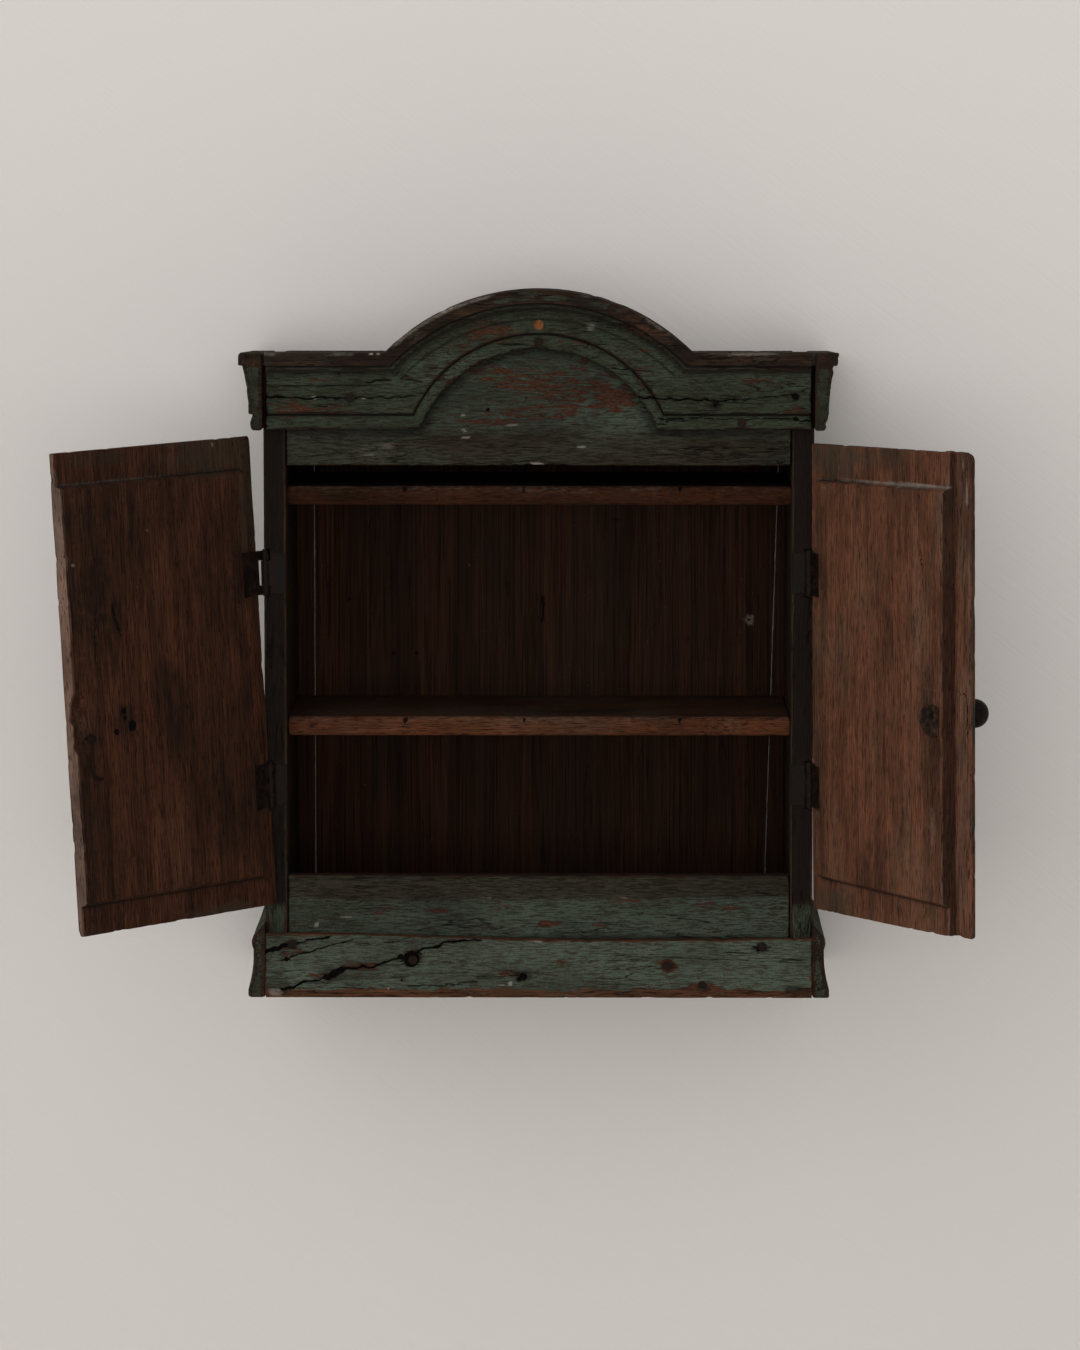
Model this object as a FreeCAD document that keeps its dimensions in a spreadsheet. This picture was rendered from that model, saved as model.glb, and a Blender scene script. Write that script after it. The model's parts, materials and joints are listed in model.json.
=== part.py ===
import FreeCAD, Part
import math
import os
import re
import Sketcher

# Wall cupboard with an arched cornice, two lipped doors, a turn latch and a hook.
# X runs to the right, Y towards the wall, Z up. The origin lies on the wall plane,
# at mid width and level with the foot. Lengths in mm, angles in degrees.

DIMENSIONS = [
    ("case_width", 546, "over the side boards"),
    ("case_depth", 227, "wall to the front edges of the sides"),
    ("side_thick", 22, "side boards"),
    ("side_head", 630, "top end of the sides"),
    ("back_thick", 12, "back boards"),
    ("back_head", 622, "top end of the back boards"),
    ("back_slit", 1.2, "open joint between back boards"),
    ("back_left_width", 17.5, "narrow strip at the left"),
    ("back_right_foot", 21, "tapered strip at the right, lower end"),
    ("back_right_head", 3, "tapered strip at the right, upper end"),
    ("hang_drop", 66, "hanging holes below the top end of the back boards"),
    ("hang_spacing", 300, "between the hanging holes"),
    ("hang_radius", 4, "hanging holes"),
    ("rail_thick", 18, "lower rail and front board"),
    ("rail_foot", 30, "lower edge of the lower rail"),
    ("opening_foot", 121, "top edge of the lower rail"),
    ("opening_head", 531, "lower edge of the front board"),
    ("floor_top", 78, "upper face of the bottom board"),
    ("floor_thick", 18, "bottom board"),
    ("shelf_thick", 19, "both shelves"),
    ("middle_shelf_top", 278, "upper face of the middle shelf"),
    ("upper_shelf_top", 509, "upper face of the upper shelf"),
    ("shelf_setback", 22, "shelves behind the front edges"),
    ("top_under", 600, "lower face of the top board"),
    ("top_thick", 16, "top board"),
    ("cornice_foot", 567, "lower edge of the cornice"),
    ("cornice_head", 644, "top of the cornice beside the arch"),
    ("cornice_joint", 2.5, "open joint between cornice front and returns"),
    ("arch_radius", 217, "upper edge of the arch"),
    ("arch_rise", 62, "highest point of the arch over the straight top"),
    ("bead_arch_radius", 126, "lower edge of the arch"),
    ("bead_arch_rise", 80, "lower edge of the arch at the middle over the foot"),
    ("ground_proj", 10, "groove of the cornice before the front plane"),
    ("fascia_proj", 13.5, "flat band of the cornice"),
    ("cove_proj", 21, "top of the hollow"),
    ("fillet_proj", 26, "top band of the cornice"),
    ("fillet_height", 13, "top band of the cornice"),
    ("cove_start", 18, "below the top of the cornice"),
    ("cove_end", 29, "below the top of the cornice"),
    ("bead_height", 14, "round bead at the foot of the cornice"),
    ("bead_groove", 2, "groove over the bead"),
    ("bead_proj", 14.5, "round bead before the front plane"),
    ("cornice_return_lead", 22, "returns run past the front plane"),
    ("return_proj", 23.5, "top band of the returns"),
    ("return_cove_proj", 19.5, "top of the hollow of the returns"),
    ("return_hollow", 55, "hollow of the returns, lower end below the top"),
    ("return_fall", 12, "top of the returns lower at the wall"),
    ("wall_clear", 3, "mouldings end before the wall"),
    ("plinth_head", 62, "top of the plinth front"),
    ("plinth_return_head", 74, "top of the plinth returns at the sides"),
    ("plinth_foot_proj", 17, "foot of the plinth"),
    ("plinth_foot_height", 7, "foot of the plinth"),
    ("plinth_neck_proj", 11.5, "neck of the plinth"),
    ("plinth_neck_height", 48, "neck of the plinth"),
    ("plinth_hollow", 130, "radius of the plinth hollow"),
    ("plinth_return_lead", 15, "returns run past the front plane"),
    ("left_lip_foot", 28, "left door below the opening"),
    ("left_lip_head", 29.6, "left door above the opening"),
    ("right_lip_foot", 32.6, "right door below the opening, at the hinges"),
    ("right_lip_head", 22.2, "right door above the opening, at the hinges"),
    ("right_rise", 5.2, "right door higher at its free edge, out of square"),
    ("left_edge_in", 8.2, "hinge edge of the left door inside the outer face"),
    ("right_edge_in", 7.4, "hinge edge of the right door inside the outer face"),
    ("door_gap", 1.4, "between the door lip and the case"),
    ("door_meet", 2, "between the two doors"),
    ("lip_thick", 8.5, "door lip"),
    ("field_proud", 8, "inner field over the lip"),
    ("field_clear", 2.5, "field in the opening"),
    ("field_foot_clear", 1.2, "field over the lower rail"),
    ("right_field_drop", 10, "head of the right field below that of the left one"),
    ("strip_cover", 23, "cover strip past the meeting edge"),
    ("strip_seat", 22, "cover strip on the right door"),
    ("strip_thick", 9, "cover strip"),
    ("strip_clear", 0.6, "cover strip over the left door"),
    ("left_open", 132, "left door as shown"),
    ("right_open", 117.3, "right door as shown"),
    ("left_lean", 1.23, "left hinge line, sideways"),
    ("left_rake", 1.59, "left hinge line, backwards"),
    ("right_lean", 0.33, "right hinge line, sideways"),
    ("left_pin_in", 3.6, "left hinge line inside the outer face, between the hinges"),
    ("right_pin_in", 3.8, "right hinge line inside the outer face, between the hinges"),
    ("lower_hinge", 212, "level of the lower hinges"),
    ("upper_hinge", 424, "level of the upper hinges"),
    ("leaf_thick", 1.6, "hinge leaves"),
    ("case_leaf_width", 21, "inner edge of the case leaf from the outer face"),
    ("case_leaf_half", 20, "half height of the case leaf"),
    ("door_leaf_width", 36, "inner edge of the door leaf from the outer face"),
    ("door_leaf_half", 22, "half height of the door leaf"),
    ("knuckle_radius", 4.25, "hinge barrel"),
    ("knuckle_half", 12, "half height of the case knuckle"),
    ("knuckle_gap", 0.4, "between case and door knuckles"),
    ("knuckle_room", 0.8, "round the hinge barrel"),
    ("leaf_notch", 1, "recesses cut past the wood"),
    ("pin_radius", 2.5, "hinge pin"),
    ("pin_fit", 0.06, "pin in the door knuckles"),
    ("pin_over", 1.5, "pin past the barrel"),
    ("knob_x", 12, "latch turning line from the middle"),
    ("knob_z", 306, "latch turning line"),
    ("knob_clear", 0.5, "knob and tongue off the wood"),
    ("knob_depth", 31, "knob from base to crown"),
    ("knob_radius", 14, "knob"),
    ("spindle_radius", 4, "latch spindle"),
    ("spindle_fit", 0.06, "spindle in the door"),
    ("tongue_thick", 3, "latch tongue"),
    ("tongue_reach", 26, "latch tongue from the turning line"),
    ("tongue_rise", 8, "latch tongue above the turning line"),
    ("tongue_drop", 18, "latch tongue below the turning line"),
    ("tongue_heel", 7, "straight edge behind the turning line"),
    ("tongue_round", 25, "radius of the tongue edge"),
    ("hook_x", -17, "hook pivot from the middle"),
    ("hook_z", 284, "hook pivot"),
    ("hook_wire", 1.4, "radius of the hook wire"),
    ("hook_eye", 3.5, "radius of the eye, wire middle"),
    ("hook_shank", 28, "straight part of the hook"),
    ("hook_bend", 9, "radius of the hook bend"),
    ("hook_sweep", 110, "angle of the hook bend"),
    ("hook_clear", 0.5, "hook off the door and the nail head"),
    ("pivot_radius", 1.7, "nail that carries the hook"),
    ("pivot_head", 4, "head of the nail that carries the hook"),
    ("pivot_grip", 6, "depth of the hook nail in the door"),
    ("nail_radius", 1.5, "nail shanks"),
    ("nail_head", 4.5, "nail heads on mouldings and boards"),
    ("nail_proud", 1, "nail heads over the wood"),
    ("nail_length", 30, "nails"),
    ("tack_head", 3.4, "nail heads on the hinge leaves"),
    ("tack_proud", 0.4, "nail heads over the hinge leaves"),
    ("tack_length", 11, "nails of the case leaves"),
    ("tack_door_length", 6, "nails of the door leaves"),
    ("peg_radius", 5, "peg in the crown of the arch"),
    ("peg_length", 24, "peg in the crown of the arch"),
    ("peg_drop", 35, "peg below the highest point of the arch"),
]
NAMES = {alias for alias, size, note in DIMENSIONS}

doc = FreeCAD.newDocument("wall_cupboard")
sheet = doc.addObject("Spreadsheet::Sheet", "dim")
for row, (alias, size, note) in enumerate(DIMENSIONS, 1):
    sheet.set(f"A{row}", alias)
    sheet.set(f"B{row}", str(size))
    sheet.set(f"C{row}", note)
    sheet.setAlias(f"B{row}", alias)
doc.recompute()

UP = FreeCAD.Vector(0, 0, 1)
TO_FRONT = FreeCAD.Rotation(FreeCAD.Vector(1, 0, 0), 90)
TO_SIDE = FreeCAD.Rotation(UP, -90).multiply(TO_FRONT)
TO_REAR = FreeCAD.Rotation(FreeCAD.Vector(1, 0, 0), -90)
TO_PLAN = FreeCAD.Rotation(FreeCAD.Vector(1, 0, 0), 180)
TO_RIGHT = FreeCAD.Rotation(FreeCAD.Vector(0, 1, 0), 90)
TO_LEFT = FreeCAD.Rotation(FreeCAD.Vector(0, 1, 0), -90)
SIDES = (("left", -1), ("right", 1))
LEVELS = ("lower", "upper")
nodes = []


def bound(text):
    """Expression with every dimension name pointing at the sheet."""
    return re.sub(r"\b[a-z]\w*\b", lambda m: f"dim.{m[0]}" if m[0] in NAMES else m[0], str(text))


def value(text):
    """Number that an expression has now."""
    return float(sheet.evalExpression(bound(text)))


def bind(obj, **sizes):
    """Bind properties to expressions; a double underscore stands for a dot."""
    for prop, text in sizes.items():
        obj.setExpression(prop.replace("__", "."), bound(text))


def stand(obj, x="0", y="0", z="0"):
    """Bind the position of an object."""
    bind(obj, Placement__Base__x=x, Placement__Base__y=y, Placement__Base__z=z)


def block(name, x, y, z):
    """Box between pairs of expressions along the three axes."""
    box = doc.addObject("Part::Box", name)
    bind(box, Length=f"({x[1]}) - ({x[0]})", Width=f"({y[1]}) - ({y[0]})", Height=f"({z[1]}) - ({z[0]})")
    stand(box, x[0], y[0], z[0])
    return box


def outward(side, near, far):
    """Pair of X expressions between two distances from the middle on one side."""
    return (near, far) if side > 0 else (f"-({far})", f"-({near})")


def rod(name, radius, length, x, y, z, turn=None):
    """Cylinder from a point; along Z, or turned by a rotation."""
    cylinder = doc.addObject("Part::Cylinder", name)
    bind(cylinder, Radius=radius, Height=length)
    if turn is not None:
        cylinder.Placement = FreeCAD.Placement(FreeCAD.Vector(), turn)
    stand(cylinder, x, y, z)
    return cylinder


def fuse(name, shapes):
    """Union of several shapes."""
    union = doc.addObject("Part::MultiFuse", name)
    union.Shapes = shapes
    return union


def gather(name, shapes):
    """Several separate solids in one piece."""
    group = doc.addObject("Part::Compound", name)
    group.Links = shapes
    return group


def cut(name, base, tools):
    """Base less all tools."""
    result = doc.addObject("Part::Cut", name)
    result.Base = base
    result.Tool = tools[0] if len(tools) == 1 else gather(f"{name}_tools", tools)
    return result


def arc_between(start, end, radius, bulge):
    """Circular arc between two points; bulge 1 swells to the right of the way, -1 to the left."""
    chord = end - start
    middle = (start + end) * 0.5
    right = FreeCAD.Vector(chord.y, -chord.x, 0).normalize()
    rise = math.sqrt(radius ** 2 - (chord.Length / 2) ** 2)
    centre = middle - right * (rise * bulge)
    angles = [math.atan2(p.y - centre.y, p.x - centre.x) for p in (start, end)]
    if bulge < 0:
        angles.reverse()
    circle = Part.Circle(centre, UP, radius)
    return Part.ArcOfCircle(circle, angles[0], angles[1])


def outline(name, turn, corners, arcs=None):
    """Closed sketch; corners are pairs of expressions, arcs maps an edge to (radius, bulge)."""
    arcs = arcs or {}
    sketch = doc.addObject("Sketcher::SketchObject", name)
    sketch.Placement = FreeCAD.Placement(FreeCAD.Vector(), turn)
    points = [FreeCAD.Vector(value(u), value(v), 0) for u, v in corners]
    ends = []
    for edge, start in enumerate(points):
        end = points[(edge + 1) % len(points)]
        if edge in arcs:
            radius, bulge = arcs[edge]
            sketch.addGeometry(arc_between(start, end, value(radius), bulge))
            ends.append((1, 2) if bulge > 0 else (2, 1))
        else:
            sketch.addGeometry(Part.LineSegment(start, end))
            ends.append((1, 2))
    for edge, (first, last) in enumerate(ends):
        after = (edge + 1) % len(ends)
        sketch.addConstraint(Sketcher.Constraint("Coincident", edge, last, after, ends[after][0]))
    for edge, (u, v) in enumerate(corners):
        for kind, text in (("DistanceX", u), ("DistanceY", v)):
            size = Sketcher.Constraint(kind, -1, 1, edge, ends[edge][0], value(text))
            index = sketch.addConstraint(size)
            sketch.setExpression(f"Constraints[{index}]", bound(text))
    for edge, (radius, bulge) in arcs.items():
        index = sketch.addConstraint(Sketcher.Constraint("Radius", edge, value(radius)))
        sketch.setExpression(f"Constraints[{index}]", bound(radius))
    return sketch


def extrude(name, sketch, length):
    """Solid swept from a sketch along its normal."""
    sweep = doc.addObject("Part::Extrusion", name)
    sweep.Base = sketch
    sweep.DirMode = "Normal"
    sweep.Solid = True
    bind(sweep, LengthFwd=length)
    return sweep


def loft(name, sections):
    """Ruled solid through like sections."""
    ruled = doc.addObject("Part::Loft", name)
    ruled.Sections = sections
    ruled.Solid = True
    ruled.Ruled = True
    return ruled


def keep(obj, frame=None):
    """Take an object as a finished piece, in the frame of its door where it has one."""
    if frame:
        obj.setExpression("Placement", bound(frame))
    obj.Label = obj.Name
    nodes.append(obj)
    return obj


FRONT = "-case_depth"
OUTER = "case_width / 2"
INNER = "(case_width / 2 - side_thick)"
PIN_Y = "(-case_depth - door_gap / 2)"
PIN_MID = "(lower_hinge + upper_hinge) / 2"
LIP_Y = "(-case_depth - door_gap)"
DOOR_FACE_Y = "(-case_depth - door_gap - lip_thick)"
FIELD_Y = "(-case_depth - door_gap + field_proud)"
STRIP_Y = "(-case_depth - door_gap - lip_thick - strip_thick)"
TURNED = "create(<<placement>>; create(<<vector>>; 0; 0; 0); create(<<rotation>>; {axis}; {angle}); {centre})"
LEANS = {-1: ("-tan(left_lean)", "tan(left_rake)"), 1: ("-tan(right_lean)", "0")}
PIN_X = {-1: f"-({OUTER} - left_pin_in)", 1: f"({OUTER} - right_pin_in)"}
OPEN = {-1: "-left_open", 1: "right_open"}
FRAMES = {
    word: TURNED.format(
        axis="create(<<vector>>; {}; {}; 1)".format(*LEANS[side]),
        angle=OPEN[side],
        centre=f"create(<<vector>>; {PIN_X[side]}; {PIN_Y}; {PIN_MID})",
    )
    for word, side in SIDES
}


def pin_at(side, height):
    """X and Y of a hinge line at a height."""
    lean, rake = LEANS[side]
    rise = f"(({height}) - {PIN_MID})"
    return f"({PIN_X[side]} + {lean} * {rise})", f"({PIN_Y} + {rake} * {rise})"


def leaf_edge(side, height):
    """Outer edge of the flat part of a hinge leaf, from the middle."""
    return f"{side} * {pin_at(side, height)[0]} - knuckle_radius - knuckle_room"


def barrel(name, side, radius, low, high):
    """Cylinder on a hinge line between two heights."""
    x, y = pin_at(side, low)
    lean, rake = LEANS[side]
    angle = f"atan(sqrt(({lean})^2 + ({rake})^2))"
    tilt = f"create(<<rotation>>; create(<<vector>>; -({rake}); {lean}; 0); {angle})"
    cylinder = doc.addObject("Part::Cylinder", name)
    bind(cylinder, Radius=radius, Height=f"({high}) - ({low})")
    place = f"create(<<placement>>; create(<<vector>>; {x}; {y}; {low}); {tilt})"
    cylinder.setExpression("Placement", bound(place))
    return cylinder


def barrel_notch(name, side, height):
    """Room for a hinge barrel in the wood beside it."""
    span = "door_leaf_half + pin_over + knuckle_room"
    return barrel(name, side, "knuckle_radius + knuckle_room", f"{height} - ({span})", f"{height} + ({span})")


# Case boards, with recesses for the hinges in the front edges of the sides.
for word, side in SIDES:
    blank = block(f"{word}_side_blank", outward(side, INNER, OUTER), (FRONT, "0"), ("0", "side_head"))
    recesses = []
    for level in LEVELS:
        height = f"{level}_hinge"
        recesses.append(block(
            f"{word}_{level}_side_recess",
            outward(side, f"{OUTER} - case_leaf_width", f"{side} * {pin_at(side, height)[0]}"),
            (f"{FRONT} - leaf_notch", f"{FRONT} + leaf_thick"),
            (f"{height} - case_leaf_half", f"{height} + case_leaf_half"),
        ))
        recesses.append(barrel_notch(f"{word}_{level}_side_notch", side, height))
    keep(cut(f"{word}_side", blank, recesses))

ACROSS = (f"-{INNER}", INNER)
BEHIND_FRONT = (f"{FRONT} + rail_thick", "-back_thick")
keep(block("bottom_board", ACROSS, BEHIND_FRONT, ("floor_top - floor_thick", "floor_top")))
keep(block("top_board", ACROSS, BEHIND_FRONT, ("top_under", "top_under + top_thick")))
for shelf in ("middle_shelf", "upper_shelf"):
    keep(block(shelf, ACROSS, (f"{FRONT} + shelf_setback", "-back_thick"),
               (f"{shelf}_top - shelf_thick", f"{shelf}_top")))
keep(block("lower_rail", ACROSS, (FRONT, f"{FRONT} + rail_thick"), ("rail_foot", "opening_foot")))

keep(block("back_strip_left", (f"-{INNER}", f"-{INNER} + back_left_width"), ("-back_thick", "0"),
           ("0", "back_head")))
taper = outline("back_strip_right_face", TO_FRONT, [
    (f"{INNER} - back_right_foot", "0"), (INNER, "0"),
    (INNER, "back_head"), (f"{INNER} - back_right_head", "back_head"),
])
keep(extrude("back_strip_right", taper, "back_thick"))
board = outline("back_board_face", TO_FRONT, [
    (f"-{INNER} + back_left_width + back_slit", "0"),
    (f"{INNER} - back_right_foot - back_slit", "0"),
    (f"{INNER} - back_right_head - back_slit", "back_head"),
    (f"-{INNER} + back_left_width + back_slit", "back_head"),
])
hangers = [
    rod(f"{word}_hanging_hole", "hang_radius", "back_thick + 2", f"{side} * hang_spacing / 2", "1",
        "back_head - hang_drop", TO_FRONT)
    for word, side in SIDES
]
keep(cut("back_board_main", extrude("back_board_blank", board, "back_thick"), hangers))

# Cornice front: bands between the arched upper edge and parallels to it, and a bead on the lower edge.
ARCH_CROWN = "(cornice_head + arch_rise)"
BEAD_CROWN = "(cornice_foot + bead_arch_rise)"
ARCH_CENTRE = f"({ARCH_CROWN} - arch_radius)"
BEAD_CENTRE = f"({BEAD_CROWN} - bead_arch_radius)"
CORNICE_END = f"({OUTER} - cornice_joint)"


def arch_reach(offset):
    """Half width of the upper arch where it meets the straight part, at an offset below the top."""
    return f"sqrt((arch_radius - ({offset}))^2 - (cornice_head - ({offset}) - {ARCH_CENTRE})^2)"


def bead_reach(offset):
    """Half width of the lower arch where it meets the straight part, at an offset above the foot."""
    return f"sqrt((bead_arch_radius + ({offset}))^2 - (cornice_foot + ({offset}) - {BEAD_CENTRE})^2)"


def upper_edge(offset, end):
    """Corners of the upper edge from right to left, lowered by an offset."""
    level = f"cornice_head - ({offset})"
    return [(end, level), (arch_reach(offset), level), (f"-{arch_reach(offset)}", level), (f"-{end}", level)]


def lower_edge(offset, end):
    """Corners of the lower edge from left to right, raised by an offset."""
    level = f"cornice_foot + ({offset})"
    return [(f"-{end}", level), (f"-{bead_reach(offset)}", level), (bead_reach(offset), level), (end, level)]


def plate_sketch(name, lift, drop, end):
    """Face between the lower edge raised by lift and the upper edge lowered by drop."""
    arcs = {1: (f"bead_arch_radius + ({lift})", -1), 5: (f"arch_radius - ({drop})", 1)}
    return outline(name, TO_FRONT, lower_edge(lift, end) + upper_edge(drop, end), arcs)


def crown_sketch(name, drop):
    """Face between the upper edge and its parallel lowered by drop."""
    lower = [(u, v) for u, v in reversed(upper_edge(drop, CORNICE_END))]
    arcs = {1: (f"arch_radius - ({drop})", -1), 5: ("arch_radius", 1)}
    return outline(name, TO_FRONT, lower + upper_edge("0", CORNICE_END), arcs)


def bead_sketch(name, low, high):
    """Face between two parallels to the lower edge."""
    upper = [(u, v) for u, v in reversed(lower_edge(high, CORNICE_END))]
    arcs = {1: (f"bead_arch_radius + ({low})", -1), 5: (f"bead_arch_radius + ({high})", 1)}
    return outline(name, TO_FRONT, lower_edge(low, CORNICE_END) + upper, arcs)


def band(name, sketch, proj):
    """Band of the cornice from the front plane to a projection."""
    stand(sketch, y=FRONT)
    return extrude(name, sketch, proj)


def swell(name, kind, sections):
    """Ruled band through sketches of one kind, each at its projection."""
    faces = []
    for index, (proj, sizes) in enumerate(sections):
        face = kind(f"{name}_{index}", *sizes)
        stand(face, y=f"{FRONT} - ({proj})")
        faces.append(face)
    return loft(name, faces)


front_face = outline("front_board_face", TO_FRONT, [
    (f"-{INNER}", "opening_head"), (INNER, "opening_head"), (INNER, "cornice_head"),
    (arch_reach("0"), "cornice_head"), (f"-{arch_reach('0')}", "cornice_head"), (f"-{INNER}", "cornice_head"),
], {3: ("arch_radius", 1)})
stand(front_face, y=f"{FRONT} + rail_thick")
keep(extrude("front_board", front_face, "rail_thick"))

COVE_SECTIONS = [
    ("fascia_proj - 1", ("cove_end",)),
    ("fascia_proj", ("cove_end",)),
    ("fascia_proj + (cove_proj - fascia_proj) * 0.12", ("cove_end - (cove_end - cove_start) * 0.42",)),
    ("fascia_proj + (cove_proj - fascia_proj) * 0.42", ("cove_start + (cove_end - cove_start) * 0.16",)),
    ("cove_proj", ("cove_start",)),
]
BEAD_SECTIONS = [
    ("ground_proj - 1", ("0", "bead_height")),
    ("ground_proj + (bead_proj - ground_proj) * 0.3", ("0", "bead_height")),
    ("ground_proj + (bead_proj - ground_proj) * 0.75", ("bead_height * 0.12", "bead_height * 0.88")),
    ("bead_proj", ("bead_height * 0.34", "bead_height * 0.66")),
]
keep(fuse("cornice_front", [
    band("cornice_ground", plate_sketch("cornice_ground_face", "0", "0", CORNICE_END), "ground_proj"),
    band("cornice_fascia", plate_sketch("cornice_fascia_face", "bead_height + bead_groove", "0", CORNICE_END),
         "fascia_proj"),
    swell("cornice_cove", crown_sketch, COVE_SECTIONS),
    band("cornice_fillet", crown_sketch("cornice_fillet_face", "fillet_height"), "fillet_proj"),
    swell("cornice_bead", bead_sketch, BEAD_SECTIONS),
]))


def out_from(side, distance):
    """X expression at a distance outside a side board."""
    return f"{side} * ({OUTER} + ({distance}))"


for word, side in SIDES:
    profile = [
        ("0", "cornice_foot"),
        ("ground_proj", "cornice_foot"),
        ("ground_proj", "cornice_foot + bead_height"),
        ("ground_proj", "cornice_foot + bead_height + bead_groove"),
        ("fascia_proj", "cornice_foot + bead_height + bead_groove"),
        ("fascia_proj", "cornice_head - return_hollow"),
        ("return_cove_proj", "cornice_head - fillet_height"),
        ("return_proj", "cornice_head - fillet_height"),
        ("return_proj", "cornice_head"),
        ("0", "cornice_head"),
    ]
    corners = [(out_from(side, u), v) for u, v in profile]
    section = outline(f"cornice_return_{word}_face", TO_FRONT, corners,
                      {1: ("bead_height * 0.6", side), 5: ("return_hollow * 2", -side)})
    stand(section, y="-wall_clear")
    blank = extrude(f"cornice_return_{word}_blank", section, "case_depth + cornice_return_lead - wall_clear")
    slope = outline(f"cornice_return_{word}_slope", TO_SIDE, [
        ("0", "cornice_head - return_fall"), ("case_depth + cornice_return_lead", "cornice_head"),
        ("case_depth + cornice_return_lead", "cornice_head + return_fall"), ("0", "cornice_head + return_fall"),
    ])
    stand(slope, x=f"{OUTER} * 2")
    waste = extrude(f"cornice_return_{word}_waste", slope, "case_width * 2")
    keep(cut(f"cornice_return_{word}", blank, [waste]))

# Plinth: a hollow moulding along the front and two returns.
front_profile = outline("plinth_front_face", TO_SIDE, [
    ("case_depth", "0"),
    ("case_depth + plinth_foot_proj", "0"),
    ("case_depth + plinth_foot_proj", "plinth_foot_height"),
    ("case_depth + plinth_neck_proj", "plinth_neck_height"),
    ("case_depth + plinth_neck_proj", "plinth_head"),
    ("case_depth", "plinth_head"),
], {2: ("plinth_hollow", -1)})
stand(front_profile, x=OUTER)
keep(extrude("plinth_front", front_profile, "case_width"))
for word, side in SIDES:
    profile = [
        ("0", "0"), ("plinth_foot_proj", "0"), ("plinth_foot_proj", "plinth_foot_height"),
        ("plinth_neck_proj", "plinth_neck_height"), ("plinth_neck_proj * 1.15", "plinth_head * 0.92"),
        ("plinth_neck_proj", "plinth_head"), ("0", "plinth_return_head"),
    ]
    corners = [(out_from(side, u), v) for u, v in profile]
    section = outline(f"plinth_return_{word}_face", TO_FRONT, corners, {2: ("plinth_hollow", -side)})
    stand(section, y="-wall_clear")
    keep(extrude(f"plinth_return_{word}", section, "case_depth + plinth_return_lead - wall_clear"))

# Doors: a lip that covers the edges of the case and a field that enters the opening.
MEETING = "(door_meet / 2)"
DOOR_FOOT = {word: f"(opening_foot - {word}_lip_foot)" for word, side in SIDES}
DOOR_HEAD = {word: f"(opening_head + {word}_lip_head)" for word, side in SIDES}
STRIP_FOOT = f"({DOOR_FOOT['right']} + right_rise)"
STRIP_HEIGHT = f"({DOOR_HEAD['right']} - {DOOR_FOOT['right']})"
RISE = {-1: "0", 1: "right_rise"}
DROP = {-1: "0", 1: "right_field_drop"}


def door_panel(name, side, far, low, high, back, depth):
    """Flat panel of a door; low and high give its levels at the hinges and at the free edge."""
    near = f"{side} * {MEETING}"
    edge = f"{side} * ({far})"
    face = outline(f"{name}_face", TO_FRONT, [(near, low[1]), (edge, low[0]), (edge, high[0]), (near, high[1])])
    stand(face, y=back)
    return extrude(name, face, depth)


for word, side in SIDES:
    foot, head = DOOR_FOOT[word], DOOR_HEAD[word]
    lip = door_panel(f"{word}_door_lip", side, f"{OUTER} - {word}_edge_in", (foot, f"{foot} + {RISE[side]}"),
                     (head, f"{head} + {RISE[side]}"), LIP_Y, "lip_thick")
    foot = "opening_foot + field_foot_clear"
    head = f"opening_head - field_clear - {DROP[side]}"
    field = door_panel(f"{word}_door_field", side, f"{INNER} - field_clear", (foot, foot),
                       (head, f"{head} + {RISE[side]}"), FIELD_Y, "field_proud")
    tools = []
    for level in LEVELS:
        height = f"{level}_hinge"
        tools.append(block(
            f"{word}_{level}_door_recess",
            outward(side, f"{OUTER} - door_leaf_width", f"{OUTER} + leaf_notch"),
            (f"{LIP_Y} - leaf_thick", f"{FIELD_Y} + leaf_notch"),
            (f"{height} - door_leaf_half", f"{height} + door_leaf_half"),
        ))
        tools.append(barrel_notch(f"{word}_{level}_door_notch", side, height))
    if side > 0:
        tools.append(rod("right_door_bore", "spindle_radius + spindle_fit", "lip_thick + field_proud + 2",
                         "knob_x", f"{DOOR_FACE_Y} - 1", "knob_z", TO_REAR))
    keep(cut(f"{word}_door_board", fuse(f"{word}_door_blank", [lip, field]), tools), FRAMES[word])

strip_section = outline("cover_strip_face", FreeCAD.Rotation(), [
    ("-strip_cover", f"{DOOR_FACE_Y} - strip_clear"), ("-strip_cover", STRIP_Y), ("strip_seat", STRIP_Y),
    ("strip_seat", DOOR_FACE_Y), (MEETING, DOOR_FACE_Y), (MEETING, f"{DOOR_FACE_Y} - strip_clear"),
])
stand(strip_section, z=STRIP_FOOT)
strip_bore = rod("cover_strip_bore", "spindle_radius + spindle_fit", "strip_thick + 2",
                 "knob_x", f"{STRIP_Y} - 1", "knob_z", TO_REAR)
keep(cut("right_door_cover_strip", extrude("cover_strip_blank", strip_section, STRIP_HEIGHT), [strip_bore]),
     FRAMES["right"])

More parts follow.
